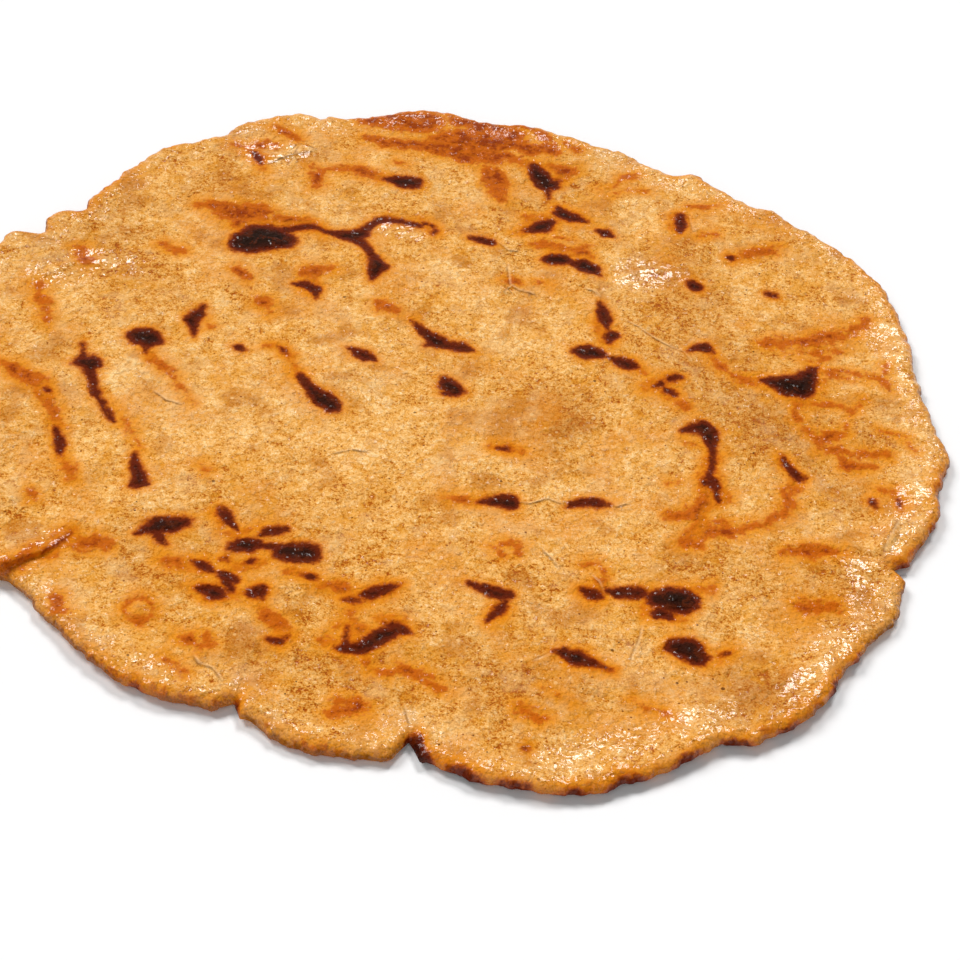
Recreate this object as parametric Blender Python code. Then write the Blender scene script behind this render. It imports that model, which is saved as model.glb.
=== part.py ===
"""A hand-rolled unleavened flatbread, one solid, lying on its flat underside.

Lengths are in millimetres until the mesh is made, and bearings are in degrees,
counter-clockwise from +X as seen from above. +Y is the far side of the bread.
The outline is a radius at each bearing, with nicks cut into it. The top is a
height over that outline: a base thickness, a rounded and thickened rim, two
splits whose lips lie at different heights, creases, ridges, blisters and the
gentle unevenness of rolled dough.
"""

import math

import bmesh
import bpy
import numpy as np
from mathutils import Vector, kdtree
from mathutils.geometry import delaunay_2d_cdt

NAME = "flatbread"
MM = 0.001

# Sheet
THICKNESS = 2.7
LEAST_THICKNESS = 1.4
EDGE_ROUND = 1.5
RIM_SWELL = 0.45
RIM_SWELL_REACH = 7.0
SWELL_NOISE = (0.5, 14.0, 31)
NOISE_TABLE = 64

# Underside: flat out to the contact radius, with shallow pits beyond it
CONTACT_RADIUS = 62.0
CONTACT_FADE = 12.0
UNDERSIDE_PITS = (0.35, 9.0, 21)

# Unevenness of the top: height, spacing of the bumps, seed
UNEVENNESS = ((0.48, 41.0, 3), (0.30, 17.0, 5), (0.22, 8.0, 8))

# Mesh spacing
RIM_SPACING = 2.5
FINE_RIM_SPACING = 0.15
RIM_SAMPLES = 7200
TOP_SPACING = 3.5
FINE_SPACING = TOP_SPACING / 2
UNDER_SPACING = 11.0
TOP_INSETS = (0.4, 1.2, 2.9)
UNDER_INSETS = (0.5, 1.6, 6.0, 13.0)
RING_CLEARANCE = 1.2
LEAST_GAP = 0.8
DETAIL_REACH = 2.2
REACH = 110.0

# Outline, as bearing and radius, one group for each lobe of the rim
RIGHT_LOBE = (
    (0, 104.2), (5, 102.0), (10, 101.3), (15, 101.7), (20, 103.8), (25, 105.1), (30, 106.4),
    (35, 105.8), (40, 104.1), (45, 102.0), (48.5, 101.9), (51, 99.6), (55, 98.6), (60.8, 99.4),
)
TOP_LOBE = (
    (62.6, 96.6), (66, 95.8), (71.5, 97.3), (74, 96.4), (81, 96.9), (86, 97.5), (90, 96.2),
    (94, 98.2), (98.5, 100.2), (103, 99.3), (108, 98.0), (113.2, 99.6),
)
TOP_LEFT_LOBE = (
    (116.5, 102.5), (123.5, 103.3), (128, 101.2), (131, 101.5), (135.5, 103.7), (140, 102.9),
    (145, 101.3), (147.5, 100.6), (150.4, 100.2), (152.6, 98.7), (154.2, 102.0), (156.5, 103.3),
    (158.8, 101.7),
)
LEFT_LOBE = (
    (161.5, 107.6), (166, 107.6), (172, 107.2), (180, 107.4), (188, 106.9), (196, 107.5),
    (204, 107.0), (211, 106.2), (217, 104.7),
)
FRONT_LEFT_LOBE = (
    (221, 100.7), (228, 100.6), (235, 100.9), (240, 100.1), (244.5, 97.9), (248.5, 95.6),
)
FRONT_LOBE = (
    (252, 94.9), (258, 97.3), (263, 96.6), (267.8, 95.4),
)
FRONT_RIGHT_LOBE = (
    (272.4, 94.6), (275, 96.9), (279, 99.3), (284, 101.6), (288.5, 103.3), (293, 102.7),
    (299, 101.9), (303.5, 100.7), (308, 103.5), (313.5, 104.4), (318, 103.8), (322, 101.7),
    (328, 101.2), (333, 102.3), (338, 100.1),
)
SPLIT_LOBE = (
    (342, 99.3), (347, 101.3), (351.5, 102.5), (354.3, 101.8), (357.5, 103.3),
)
LOBES = (
    RIGHT_LOBE, TOP_LOBE, TOP_LEFT_LOBE, LEFT_LOBE, FRONT_LEFT_LOBE, FRONT_LOBE, FRONT_RIGHT_LOBE,
    SPLIT_LOBE,
)
# Nicks in the rim: bearing, depth, half width in degrees
NICKS = (
    (249.8, 2.8, 1.5), (270.2, 4.2, 1.6), (340.0, 2.2, 1.4), (72.4, 1.0, 0.8), (114.0, 1.1, 0.9),
    (159.4, 1.2, 0.9), (304.6, 0.6, 0.7), (219.2, 0.6, 1.2), (321.0, 0.5, 0.7), (107.6, 0.5, 0.8),
)
# Fine raggedness: height, waves round the rim, phase
RAGGED = ((0.16, 61, 0.4), (0.13, 83, 2.1), (0.10, 107, 4.4))

# Curls, where the rim leaves the surface it lies on: bearing, lift, half width in degrees
CURLS = (
    (158, 1.0, 17), (95, 0.8, 20), (30, 0.5, 18), (350, 1.0, 9), (316, 1.1, 17), (284, 0.6, 12),
    (234, 0.7, 12), (205, 0.8, 12),
)
CURL_REACH = 17.0

# Left split: its upper lobe lies over the lower one, from the mouth inwards
LEFT_LIP = (
    (-85.5, -67.5), (-80.3, -62.8), (-76.3, -59.3), (-73.2, -57.2), (-71.2, -54.8), (-69.5, -51.0),
)
LIP_RISE = 1.9
LIP_DIP = 0.35
LIP_REACH = 11.0
LIP_WALL = 0.9
# Right split: a groove whose upper lobe has a curled crest
RIGHT_GROOVE = ((93.0, -34.0), (88.0, -31.8), (80.0, -31.0), (71.0, -31.6))
RIGHT_CREST = ((87.0, -30.0), (90.2, -25.5), (91.0, -20.0))

# Creases and cracks: path, depth, half width
CREASES = (
    (RIGHT_GROOVE, 1.0, 1.7),
    (((6.5, 45.5), (8.0, 41.0), (8.2, 37.3), (12.0, 37.0), (16.0, 34.5)), 0.5, 1.3),
    (((25.0, 40.5), (31.0, 37.0)), 0.35, 1.2),
    (((40.0, 29.0), (44.0, 26.5), (48.0, 23.0), (50.0, 19.5)), 0.4, 1.3),
    (((20.0, -41.0), (24.0, -44.5)), 0.4, 1.2),
    (((41.0, -50.0), (41.3, -58.0), (41.0, -65.0)), 0.35, 1.3),
    (((-31.2, -88.0), (-30.2, -78.0), (-28.0, -70.0)), 0.6, 1.8),
    (((0.6, -92.0), (1.0, -86.0), (0.5, -80.0)), 0.5, 1.8),
    (((-40.0, -80.5), (-36.0, -84.0)), 0.4, 1.3),
    (((48.0, 73.0), (47.6, 66.0)), 0.4, 1.2),
)
# Ridges: path, height, half width
RIDGES = (
    (RIGHT_CREST, 0.9, 2.2),
    (((24.0, -75.0), (34.0, -79.5), (43.0, -82.0)), 0.45, 1.6),
    (((28.0, -71.5), (38.0, -75.5), (47.0, -77.0)), 0.40, 1.6),
    (((32.0, 44.0), (37.0, 48.0), (43.0, 49.5)), 0.40, 1.8),
    (((-92.0, 22.0), (-86.0, 27.0), (-78.0, 30.0)), 0.50, 2.2),
    (((-52.0, 72.5), (-47.0, 74.5), (-41.0, 77.5)), 0.50, 1.9),
    (((58.0, -72.0), (68.0, -67.0), (76.0, -60.0), (84.0, -48.0)), 0.45, 2.6),
)
# Blisters: centre, radius, height
BLISTERS = (
    (-46.0, 43.5, 6.5, 0.9), (-21.0, 38.5, 3.4, 0.6), (-17.0, 69.5, 3.6, 0.5),
    (70.0, 16.5, 6.0, 0.7), (88.5, -15.5, 5.0, 0.6), (-52.5, -47.5, 4.8, 0.4),
    (48.0, -49.0, 4.8, 0.5), (50.0, -61.0, 4.4, 0.4), (-12.0, -70.0, 6.0, 0.5),
    (54.0, -15.0, 5.0, 0.4), (-53.0, -68.5, 3.6, 0.5), (24.0, 67.0, 6.0, 0.3),
)


def rim_table():
    """Bearings and radii of all the rim's knots, in order."""
    table = np.array([knot for lobe in LOBES for knot in lobe], float)
    return table[:, 0], table[:, 1]


def turn_between(bearing, centre):
    """How far each bearing is from centre, from 0 to 180 degrees."""
    return np.abs((bearing - centre + 180) % 360 - 180)


def rim_radius(bearing):
    """Radius of the outline at each bearing: a curve through the knots that never overshoots them."""
    knots, radii = rim_table()
    span = np.diff(knots, append=knots[0] + 360)
    slope = np.diff(radii, append=radii[0]) / span
    before = np.roll(slope, 1)
    same_way = before * slope > 0
    tangent = np.where(same_way, 2 * before * slope / np.where(same_way, before + slope, 1), 0)
    bearing = bearing % 360
    k = np.searchsorted(knots, bearing, side="right") - 1
    after = (k + 1) % len(knots)
    t = (bearing - knots[k]) / span[k]
    radius = (
        radii[k] * (1 + 2 * t) * (1 - t) ** 2
        + radii[after] * t**2 * (3 - 2 * t)
        + span[k] * (tangent[k] * t * (1 - t) ** 2 - tangent[after] * t**2 * (1 - t))
    )
    for height, waves, phase in RAGGED:
        radius = radius + height * np.sin(np.radians(bearing) * waves + phase)
    for centre, depth, width in NICKS:
        radius = radius - depth * np.clip(1 - turn_between(bearing, centre) / width, 0, 1)
    return radius


def rim_points(spacing):
    """Points along the outline, about evenly spaced, with one in the apex of each nick."""
    bearing = np.linspace(0, 360, RIM_SAMPLES, endpoint=False)
    radius = rim_radius(bearing)
    x = radius * np.cos(np.radians(bearing))
    y = radius * np.sin(np.radians(bearing))
    step = np.hypot(np.diff(x, append=x[0]), np.diff(y, append=y[0]))
    along = np.concatenate([[0], np.cumsum(step)[:-1]])
    count = round(step.sum() / spacing)
    places = np.linspace(0, step.sum(), count, endpoint=False)
    kept = np.searchsorted(along, places)
    apexes = np.searchsorted(bearing, [nick[0] for nick in NICKS])
    for apex in apexes:
        kept[np.argmin(np.abs(kept - apex))] = apex
    kept = np.unique(np.clip(kept, 0, len(bearing) - 1))
    return np.column_stack([x[kept], y[kept]])


def rim_finder():
    """A search tree of closely spaced outline points."""
    points = rim_points(FINE_RIM_SPACING)
    tree = kdtree.KDTree(len(points))
    for index, (x, y) in enumerate(points):
        tree.insert((x, y, 0), index)
    tree.balance()
    return tree


def rim_distance(tree, points):
    """Distance from each point to the outline."""
    return np.array([tree.find((x, y, 0))[2] for x, y in points])


def smooth(t):
    """Eases from 0 to 1 as t does."""
    t = np.clip(t, 0, 1)
    return t * t * (3 - 2 * t)


def bump(t):
    """1 at t = 0, easing to 0 at t = 1."""
    return smooth(1 - np.abs(t))


def noise(x, y, spacing, seed):
    """Smooth noise from -1 to 1, with bumps about the given spacing apart."""
    table = np.random.default_rng(seed).uniform(-1, 1, (NOISE_TABLE, NOISE_TABLE))
    turn = 0.7 + seed
    u = (x * math.cos(turn) - y * math.sin(turn)) / spacing
    v = (x * math.sin(turn) + y * math.cos(turn)) / spacing
    i, j = np.floor(u).astype(int), np.floor(v).astype(int)
    s, t = smooth(u - i), smooth(v - j)
    i, j, right, above = i % NOISE_TABLE, j % NOISE_TABLE, (i + 1) % NOISE_TABLE, (j + 1) % NOISE_TABLE
    near = table[i, j] * (1 - s) + table[right, j] * s
    far = table[i, above] * (1 - s) + table[right, above] * s
    return near * (1 - t) + far * t


def along_path(x, y, path):
    """Distance to a path, plus on its right and minus on its left, and the place along it, 0 to 1."""
    path = np.array(path, float)
    lengths = np.hypot(*np.diff(path, axis=0).T)
    starts = np.concatenate([[0], np.cumsum(lengths)]) / lengths.sum()
    nearest = np.full(np.shape(x), np.inf)
    side = np.ones(np.shape(x))
    place = np.zeros(np.shape(x))
    for k, length in enumerate(lengths):
        ux, uy = (path[k + 1] - path[k]) / length
        dx, dy = x - path[k, 0], y - path[k, 1]
        t = np.clip(dx * ux + dy * uy, 0, length)
        distance = np.hypot(dx - t * ux, dy - t * uy)
        closer = distance < nearest
        nearest = np.where(closer, distance, nearest)
        side = np.where(closer, np.where(dx * uy - dy * ux > 0, 1, -1), side)
        place = np.where(closer, starts[k] + (starts[k + 1] - starts[k]) * t / length, place)
    return nearest * side, place


def left_split(x, y):
    """The step at the lip: the upper lobe rises towards it and the lower one dips under it."""
    distance, place = along_path(x, y, LEFT_LIP)
    above = LIP_RISE * bump(distance / LIP_REACH)
    below = -LIP_DIP * bump(2 * distance / LIP_REACH)
    on_top = smooth(0.5 - distance / LIP_WALL)
    return smooth(1.15 - place) * (below + (above - below) * on_top)


def taper(place):
    """Eases a ridge down to nearly nothing at both its ends."""
    return smooth(4 * place + 0.3) * smooth(4 * (1 - place) + 0.3)


def relief(x, y):
    """Height of the splits, creases, ridges, blisters and unevenness."""
    height = left_split(x, y)
    for path, depth, width in CREASES:
        distance, place = along_path(x, y, path)
        height = height - depth * bump(distance / width) * (1 - 0.6 * place)
    for path, rise, width in RIDGES:
        distance, place = along_path(x, y, path)
        height = height + rise * bump(distance / width) * taper(place)
    for cx, cy, radius, rise in BLISTERS:
        height = height + rise * bump(np.hypot(x - cx, y - cy) / radius)
    for rise, spacing, seed in UNEVENNESS:
        height = height + rise * noise(x, y, spacing, seed)
    return height


def edge_profile(distance):
    """How full the rounded edge is, 0 at the outline and 1 where the rounding ends."""
    t = np.clip(distance / EDGE_ROUND, 0, 1)
    return np.sqrt(1 - (1 - t) ** 2)


def under_height(x, y, distance):
    """Height of the underside: 0 where it rests, lifted at the curls and in shallow pits."""
    bearing = np.degrees(np.arctan2(y, x))
    lift = np.zeros(np.shape(x))
    for centre, rise, width in CURLS:
        lift = lift + rise * bump(turn_between(bearing, centre) / (2 * width))
    lift = lift * smooth(1 - distance / CURL_REACH)
    depth, spacing, seed = UNDERSIDE_PITS
    outside = smooth((np.hypot(x, y) - CONTACT_RADIUS) / CONTACT_FADE)
    return lift + depth * outside * np.maximum(0, noise(x, y, spacing, seed))


def body_thickness(x, y, distance):
    """Thickness of the sheet inside the rounded edge."""
    share, spacing, seed = SWELL_NOISE
    uneven = 1 + share * noise(x, y, spacing, seed)
    swell = RIM_SWELL * bump(distance / RIM_SWELL_REACH) * uneven
    return np.maximum(LEAST_THICKNESS, THICKNESS + swell + relief(x, y))


def heights(x, y, distance):
    """Heights of the underside and the top."""
    under = under_height(x, y, distance)
    thickness = body_thickness(x, y, distance)
    middle = under + thickness / 2
    half = thickness / 2 * edge_profile(distance)
    return middle - half, middle + half


def inset_rings(rim, insets, tree):
    """Copies of the outline moved inwards, without points that come too near another stretch."""
    ahead = np.roll(rim, -1, axis=0) - np.roll(rim, 1, axis=0)
    inward = np.column_stack([-ahead[:, 1], ahead[:, 0]]) / np.hypot(*ahead.T)[:, None]
    rings = []
    for k, inset in enumerate(insets):
        ring = (rim + np.roll(rim, -1, axis=0)) / 2 if k % 2 else rim
        moved = ring + inward * inset
        rings.append(spread(moved[rim_distance(tree, moved) > 0.9 * inset]))
    return np.concatenate(rings)


def spread(points):
    """The points, without those that come too near an earlier one."""
    kept = points[:1]
    for point in points[1:]:
        if np.hypot(*(kept - point).T).min() > LEAST_GAP:
            kept = np.vstack([kept, point])
    return kept


def near_detail(x, y):
    """Where the top has narrow relief, which takes the fine spacing."""
    near = np.zeros(np.shape(x), bool)
    paths = [LEFT_LIP] + [crease[0] for crease in CREASES] + [ridge[0] for ridge in RIDGES]
    for path in paths:
        near |= np.abs(along_path(x, y, path)[0]) < DETAIL_REACH
    for cx, cy, radius, _ in BLISTERS:
        near |= np.hypot(x - cx, y - cy) < 0.8 * radius
    return near


def lattice(spacing, coarse_too=False):
    """Points of a triangular lattice. With coarse_too, every other one stays only near detail."""
    row_gap = spacing * math.sqrt(3) / 2
    rows = int(REACH / row_gap)
    columns = int(REACH / spacing)
    i, j = np.meshgrid(np.arange(-columns, columns + 1), np.arange(-rows, rows + 1))
    x = (i + 0.5 * (j % 2)) * spacing
    y = j * row_gap
    if coarse_too:
        coarse = (j % 2 == 0) & ((i + j // 2) % 2 == 0)
        kept = coarse | near_detail(x, y)
        x, y = x[kept], y[kept]
    return np.column_stack([x.ravel(), y.ravel()])


def triangulate(rim, inner):
    """Triangles over the outline that use all the points, numbered rim first."""
    points = [Vector(point) for point in np.concatenate([rim, inner])]
    loop = [(k, (k + 1) % len(rim)) for k in range(len(rim))]
    _, _, faces, sources, _, _ = delaunay_2d_cdt(points, loop, [], 1, 1e-6)
    return [[sources[corner][0] for corner in face] for face in faces]


def sheet_points(rim, tree, insets, grid):
    """Inset rings and the lattice points that lie further in than the last ring."""
    bearing = np.degrees(np.arctan2(grid[:, 1], grid[:, 0]))
    grid = grid[np.hypot(*grid.T) < rim_radius(bearing)]
    grid = grid[rim_distance(tree, grid) > insets[-1] + RING_CLEARANCE]
    return np.concatenate([inset_rings(rim, insets, tree), grid])


def bread_mesh():
    """The closed mesh: top and underside share the outline's points."""
    tree = rim_finder()
    rim = rim_points(RIM_SPACING)
    top = sheet_points(rim, tree, TOP_INSETS, lattice(FINE_SPACING, coarse_too=True))
    under = sheet_points(rim, tree, UNDER_INSETS, lattice(UNDER_SPACING))
    flat = np.concatenate([rim, top, under])
    distance = rim_distance(tree, flat)
    distance[: len(rim)] = 0
    low, high = heights(flat[:, 0], flat[:, 1], distance)
    first_under = len(rim) + len(top)
    z = np.where(np.arange(len(flat)) < first_under, high, low)
    points = np.column_stack([flat, z])
    points[:, :2] -= (points[:, :2].min(axis=0) + points[:, :2].max(axis=0)) / 2

    shape = bmesh.new()
    corners = [shape.verts.new(point * MM) for point in points]
    for a, b, c in triangulate(rim, top):
        shape.faces.new((corners[a], corners[b], corners[c]))
    for face in triangulate(rim, under):
        a, b, c = (corner if corner < len(rim) else corner + len(top) for corner in face)
        shape.faces.new((corners[a], corners[c], corners[b]))
    bmesh.ops.recalc_face_normals(shape, faces=shape.faces)
    mesh = bpy.data.meshes.new(NAME)
    shape.to_mesh(mesh)
    shape.free()
    mesh.shade_smooth()
    return mesh


def bread_material():
    """Toasted wheat dough, slightly oily."""
    material = bpy.data.materials.new("toasted_dough")
    material.use_nodes = True
    shader = material.node_tree.nodes["Principled BSDF"]
    shader.inputs["Base Color"].default_value = (0.69, 0.32, 0.075, 1)
    shader.inputs["Roughness"].default_value = 0.55
    shader.inputs["Metallic"].default_value = 0.0
    material.diffuse_color = (0.69, 0.32, 0.075, 1)
    return material


def clear_scene():
    for thing in list(bpy.data.objects):
        bpy.data.objects.remove(thing, do_unlink=True)


def main():
    clear_scene()
    parts = bpy.data.collections.new(NAME)
    bpy.context.scene.collection.children.link(parts)
    bread = bpy.data.objects.new(NAME, bread_mesh())
    bread.data.materials.append(bread_material())
    parts.objects.link(bread)


main()
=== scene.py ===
"""Looks of the flatbread: its surface, toasted and burnt marks, a pale floor, soft light and the camera.

Lengths are in millimetres until the mesh is made, and bearings are in degrees,
counter-clockwise from +X as seen from above. +Y is the far side of the bread.
The outline and the large relief repeat the solid's own, and the rest is finer.
Marks are strokes: x, y and half width, point after point. Those read off the
photograph are in its pixels, and on_bread finds their places in millimetres.
Fields turn strokes into distances, which the material colours.
"""

import math

import bpy
import numpy as np
from mathutils import Matrix, Vector, kdtree
from mathutils.geometry import delaunay_2d_cdt


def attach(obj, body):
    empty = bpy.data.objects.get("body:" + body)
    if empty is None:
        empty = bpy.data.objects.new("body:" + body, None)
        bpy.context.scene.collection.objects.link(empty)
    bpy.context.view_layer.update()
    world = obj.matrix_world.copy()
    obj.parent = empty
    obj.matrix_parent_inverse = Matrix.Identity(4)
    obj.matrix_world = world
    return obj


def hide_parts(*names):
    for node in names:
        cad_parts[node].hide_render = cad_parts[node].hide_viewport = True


MM = 0.001
NODE = "flatbread"

# Sheet
THICKNESS = 2.7
LEAST_THICKNESS = 1.2
EDGE_ROUND = 2.6
EDGE_LEVEL = 0.36
RIM_SWELL = 0.45
RIM_SWELL_REACH = 7.0
SWELL_NOISE = (0.5, 14.0, 31)
NOISE_TABLE = 64

# Underside: flat out to the contact radius, with shallow pits beyond it
CONTACT_RADIUS = 62.0
CONTACT_FADE = 12.0
UNDERSIDE_PITS = (0.35, 9.0, 21)
FINE_PITS = (0.12, 2.6, 27)

# Unevenness of the top: height, spacing of the bumps, seed
UNEVENNESS = ((0.48, 41.0, 3), (0.30, 17.0, 5), (0.22, 8.0, 8))
FINE_UNEVENNESS = ((0.16, 4.6, 11), (0.08, 2.3, 13))
OILY_BUMPS = (0.09, 1.9, 17)
CRUST_PITS = (0.13, 0.12, 1.7, 19)

# Mesh spacing
RIM_SPACING = 0.8
FINE_RIM_SPACING = 0.15
RIM_SAMPLES = 14400
TOP_SPACING = 0.78
UNDER_SPACING = 2.2
TOP_INSETS = (0.18, 0.45, 0.85, 1.4)
UNDER_INSETS = (0.2, 0.55, 1.1, 1.9)
RING_CLEARANCE = 0.45
LEAST_GAP = 0.25
REACH = 110.0

# Outline, as bearing and radius, one group for each lobe of the rim
RIGHT_LOBE = (
    (0, 104.2), (5, 102), (10, 101.3), (15, 101.7), (20, 103.8), (25, 105.1), (30, 106.4),
    (35, 105.8), (40, 104.1), (45, 102), (48.5, 101.9), (51, 99.6), (55, 98.6), (60.8, 99.4),
)
TOP_LOBE = (
    (62.6, 96.6), (66, 95.8), (71.5, 97.3), (74, 96.4), (81, 96.9), (86, 97.5), (90, 96.2),
    (94, 98.2), (98.5, 100.2), (103, 99.3), (108, 98), (113.2, 99.6),
)
TOP_LEFT_LOBE = (
    (116.5, 102.5), (123.5, 103.3), (128, 101.2), (131, 101.5), (135.5, 103.7), (140, 102.9),
    (145, 101.3), (147.5, 100.6), (150.4, 100.2), (152.6, 98.7), (154.2, 102), (156.5, 103.3),
    (158.8, 101.7),
)
LEFT_LOBE = (
    (161.5, 107.6), (166, 107.6), (172, 107.2), (180, 107.4), (188, 106.9), (196, 107.5),
    (204, 107), (211, 106.2), (217, 104.7),
)
FRONT_LEFT_LOBE = (
    (221, 100.7), (228, 100.6), (235, 100.9), (240, 100.1), (244.5, 97.9), (248.5, 95.6),
)
FRONT_LOBE = (
    (252, 94.9), (258, 97.3), (263, 96.6), (267.8, 95.4),
)
FRONT_RIGHT_LOBE = (
    (272.4, 94.6), (275, 96.9), (279, 99.3), (284, 101.6), (288.5, 103.3), (293, 102.7),
    (299, 101.9), (303.5, 100.7), (308, 103.5), (313.5, 104.4), (318, 103.8), (322, 101.7),
    (328, 101.2), (333, 102.3), (338, 100.1),
)
SPLIT_LOBE = (
    (342, 99.3), (347, 101.3), (351.5, 102.5), (354.3, 101.8), (357.5, 103.3),
)
LOBES = (
    RIGHT_LOBE, TOP_LOBE, TOP_LEFT_LOBE, LEFT_LOBE, FRONT_LEFT_LOBE, FRONT_LOBE, FRONT_RIGHT_LOBE,
    SPLIT_LOBE,
)
# Nicks in the rim: bearing, depth, half width in degrees
NICKS = (
    (249.8, 2.8, 1.5), (270.2, 4.2, 1.6), (340, 2.2, 1.4), (72.4, 1, 0.8), (114, 1.1, 0.9),
    (159.4, 1.2, 0.9), (304.6, 0.6, 0.7), (219.2, 0.6, 1.2), (321, 0.5, 0.7), (107.6, 0.5, 0.8),
)
# Raggedness: height, waves round the rim, phase. The finer waves are the scene's own
RAGGED = ((0.16, 61, 0.4), (0.13, 83, 2.1), (0.10, 107, 4.4))
FINE_RAGGED = ((0.10, 151, 1.3), (0.08, 197, 3.7), (0.06, 263, 5.2), (0.05, 347, 0.9))

# Curls, where the rim leaves the surface it lies on: bearing, lift, half width in degrees
CURLS = (
    (158, 1, 17), (95, 0.8, 20), (30, 0.5, 18), (350, 1, 9), (316, 1.1, 17), (284, 0.6, 12),
    (234, 0.7, 12), (205, 0.8, 12),
)
CURL_REACH = 17.0

# Left split: its upper lobe lies over the lower one, from the mouth inwards
LEFT_LIP = (
    (-85.5, -67.5), (-80.3, -62.8), (-76.3, -59.3), (-73.2, -57.2), (-71.2, -54.8), (-69.5, -51),
)
LIP_RISE = 1.9
LIP_DIP = 0.35
LIP_REACH = 11.0
LIP_WALL = 0.9
# Right split: a groove whose upper lobe has a curled crest
RIGHT_GROOVE = ((93, -34), (88, -31.8), (80, -31), (71, -31.6))
RIGHT_CREST = ((87, -30), (90.2, -25.5), (91, -20))

# Creases and cracks: path, depth, half width
CREASES = (
    (RIGHT_GROOVE, 1, 1.7),
    (((6.5, 45.5), (8, 41), (8.2, 37.3), (12, 37), (16, 34.5)), 0.5, 1.3),
    (((25, 40.5), (31, 37)), 0.35, 1.2),
    (((40, 29), (44, 26.5), (48, 23), (50, 19.5)), 0.4, 1.3),
    (((20, -41), (24, -44.5)), 0.4, 1.2),
    (((41, -50), (41.3, -58), (41, -65)), 0.35, 1.3),
    (((-31.2, -88), (-30.2, -78), (-28, -70)), 0.6, 1.8),
    (((0.6, -92), (1, -86), (0.5, -80)), 0.5, 1.8),
    (((-40, -80.5), (-36, -84)), 0.4, 1.3),
    (((48, 73), (47.6, 66)), 0.4, 1.2),
)
# Ridges: path, height, half width
RIDGES = (
    (RIGHT_CREST, 0.9, 2.2),
    (((24, -75), (34, -79.5), (43, -82)), 0.45, 1.6),
    (((28, -71.5), (38, -75.5), (47, -77)), 0.40, 1.6),
    (((32, 44), (37, 48), (43, 49.5)), 0.40, 1.8),
    (((-92, 22), (-86, 27), (-78, 30)), 0.50, 2.2),
    (((-52, 72.5), (-47, 74.5), (-41, 77.5)), 0.50, 1.9),
    (((58, -72), (68, -67), (76, -60), (84, -48)), 0.45, 2.6),
)
# Blisters: centre, radius, height
BLISTERS = (
    (-46, 43.5, 6.5, 0.9), (-21, 38.5, 3.4, 0.6), (-17, 69.5, 3.6, 0.5),
    (70, 16.5, 6, 0.7), (88.5, -15.5, 5, 0.6), (-52.5, -47.5, 4.8, 0.4),
    (48, -49, 4.8, 0.5), (50, -61, 4.4, 0.4), (-12, -70, 6, 0.5),
    (54, -15, 5, 0.4), (-53, -68.5, 3.6, 0.5), (24, 67, 6, 0.3),
)

# Burnt marks, read off enlargements of the photograph, in its pixels: strokes of x, y, half width
BLISTER_CHAR = (
    (236, 245, 2, 241, 244, 8, 250, 241, 13, 260, 238, 14, 271, 237.5, 12.5, 282, 239, 9.5, 291, 240, 2.5),
    (284, 228, 3, 298, 226, 3, 312, 226, 3, 322, 229, 1.6),
    (322, 229.5, 1.6, 335, 231.5, 2.4, 346, 233.5, 5, 354, 233.5, 6, 362, 230.5, 6),
    (
        362, 229, 4.5, 368, 224, 3.5, 376, 219.5, 3.2, 385, 218, 2.8, 397, 219.5, 2.4, 409, 222.5, 2,
        420, 224, 2.4,
    ),
    (420, 224, 1.6, 426, 221, 1.4, 433, 223, 1.6, 437, 228, 1.8, 433, 233, 1.4),
    (352, 236, 4, 361, 240, 4, 367, 246, 3.6, 370, 252, 3, 374, 257, 4),
    (372, 254, 3, 375, 261, 7, 378, 267, 10, 374, 273, 7, 372, 280, 2),
    (384, 180, 1.2, 393, 180, 4, 403, 181.5, 6, 412, 182, 5.5, 419, 180, 2.5),
    (295, 283, 1.5, 306, 284, 4, 313, 289, 6, 314.5, 297, 1.5),
)
CENTRE_LEFT_CHAR = (
    (203, 306, 2.5, 199, 312, 6, 192, 319, 7.5, 195, 327, 5, 194, 335, 1.2),
    (411, 320, 1, 421, 327.5, 3.4, 430, 334, 6, 437, 340, 7.5, 447, 344, 4, 460, 346.5, 5, 474, 349, 1),
    (425, 344.5, 1.5, 436, 341, 5),
    (349, 348, 1.5, 357, 351.5, 5, 366, 355.5, 5.5, 375, 360, 1),
    (443, 375, 3, 447, 382, 8, 456, 387.5, 7, 467, 389, 1.2),
    (443, 390, 2, 452, 390, 4),
    (233, 345.5, 1, 239, 347, 3.3, 246, 349, 1),
    (279, 346, 0.6, 284, 350, 2.2, 290, 356, 0.6),
    (301, 375, 3.5, 307, 383, 5.5, 315, 391, 7.5, 323, 398, 9.5, 332, 405, 7.5, 339, 409, 2),
)
LEFT_CHAR = (
    (131, 333, 3, 139, 336, 8, 148, 337, 9.5, 155, 338, 6, 161, 338, 1.5),
    (143, 342, 4, 147, 351, 1.5),
    (82, 341, 1.6, 82, 349, 2.2, 83, 356, 5),
    (72, 361, 1.2, 81, 360, 6, 90, 361, 8, 97, 363, 4),
    (88, 364, 7, 91, 374, 5.6, 95, 386, 4, 100, 397, 3.3, 103, 405, 3.2, 108, 412, 4, 114, 418, 1.4),
    (135, 452, 2.4, 136, 462, 5, 138, 473, 8, 139, 482, 8.5),
    (131, 484, 2, 148, 484, 1.4),
    (57, 426, 2.2, 58, 436, 4.2, 60, 446, 5.6, 61, 455, 1.6),
    (45, 388, 1, 49, 391, 1.6),
)
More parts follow.
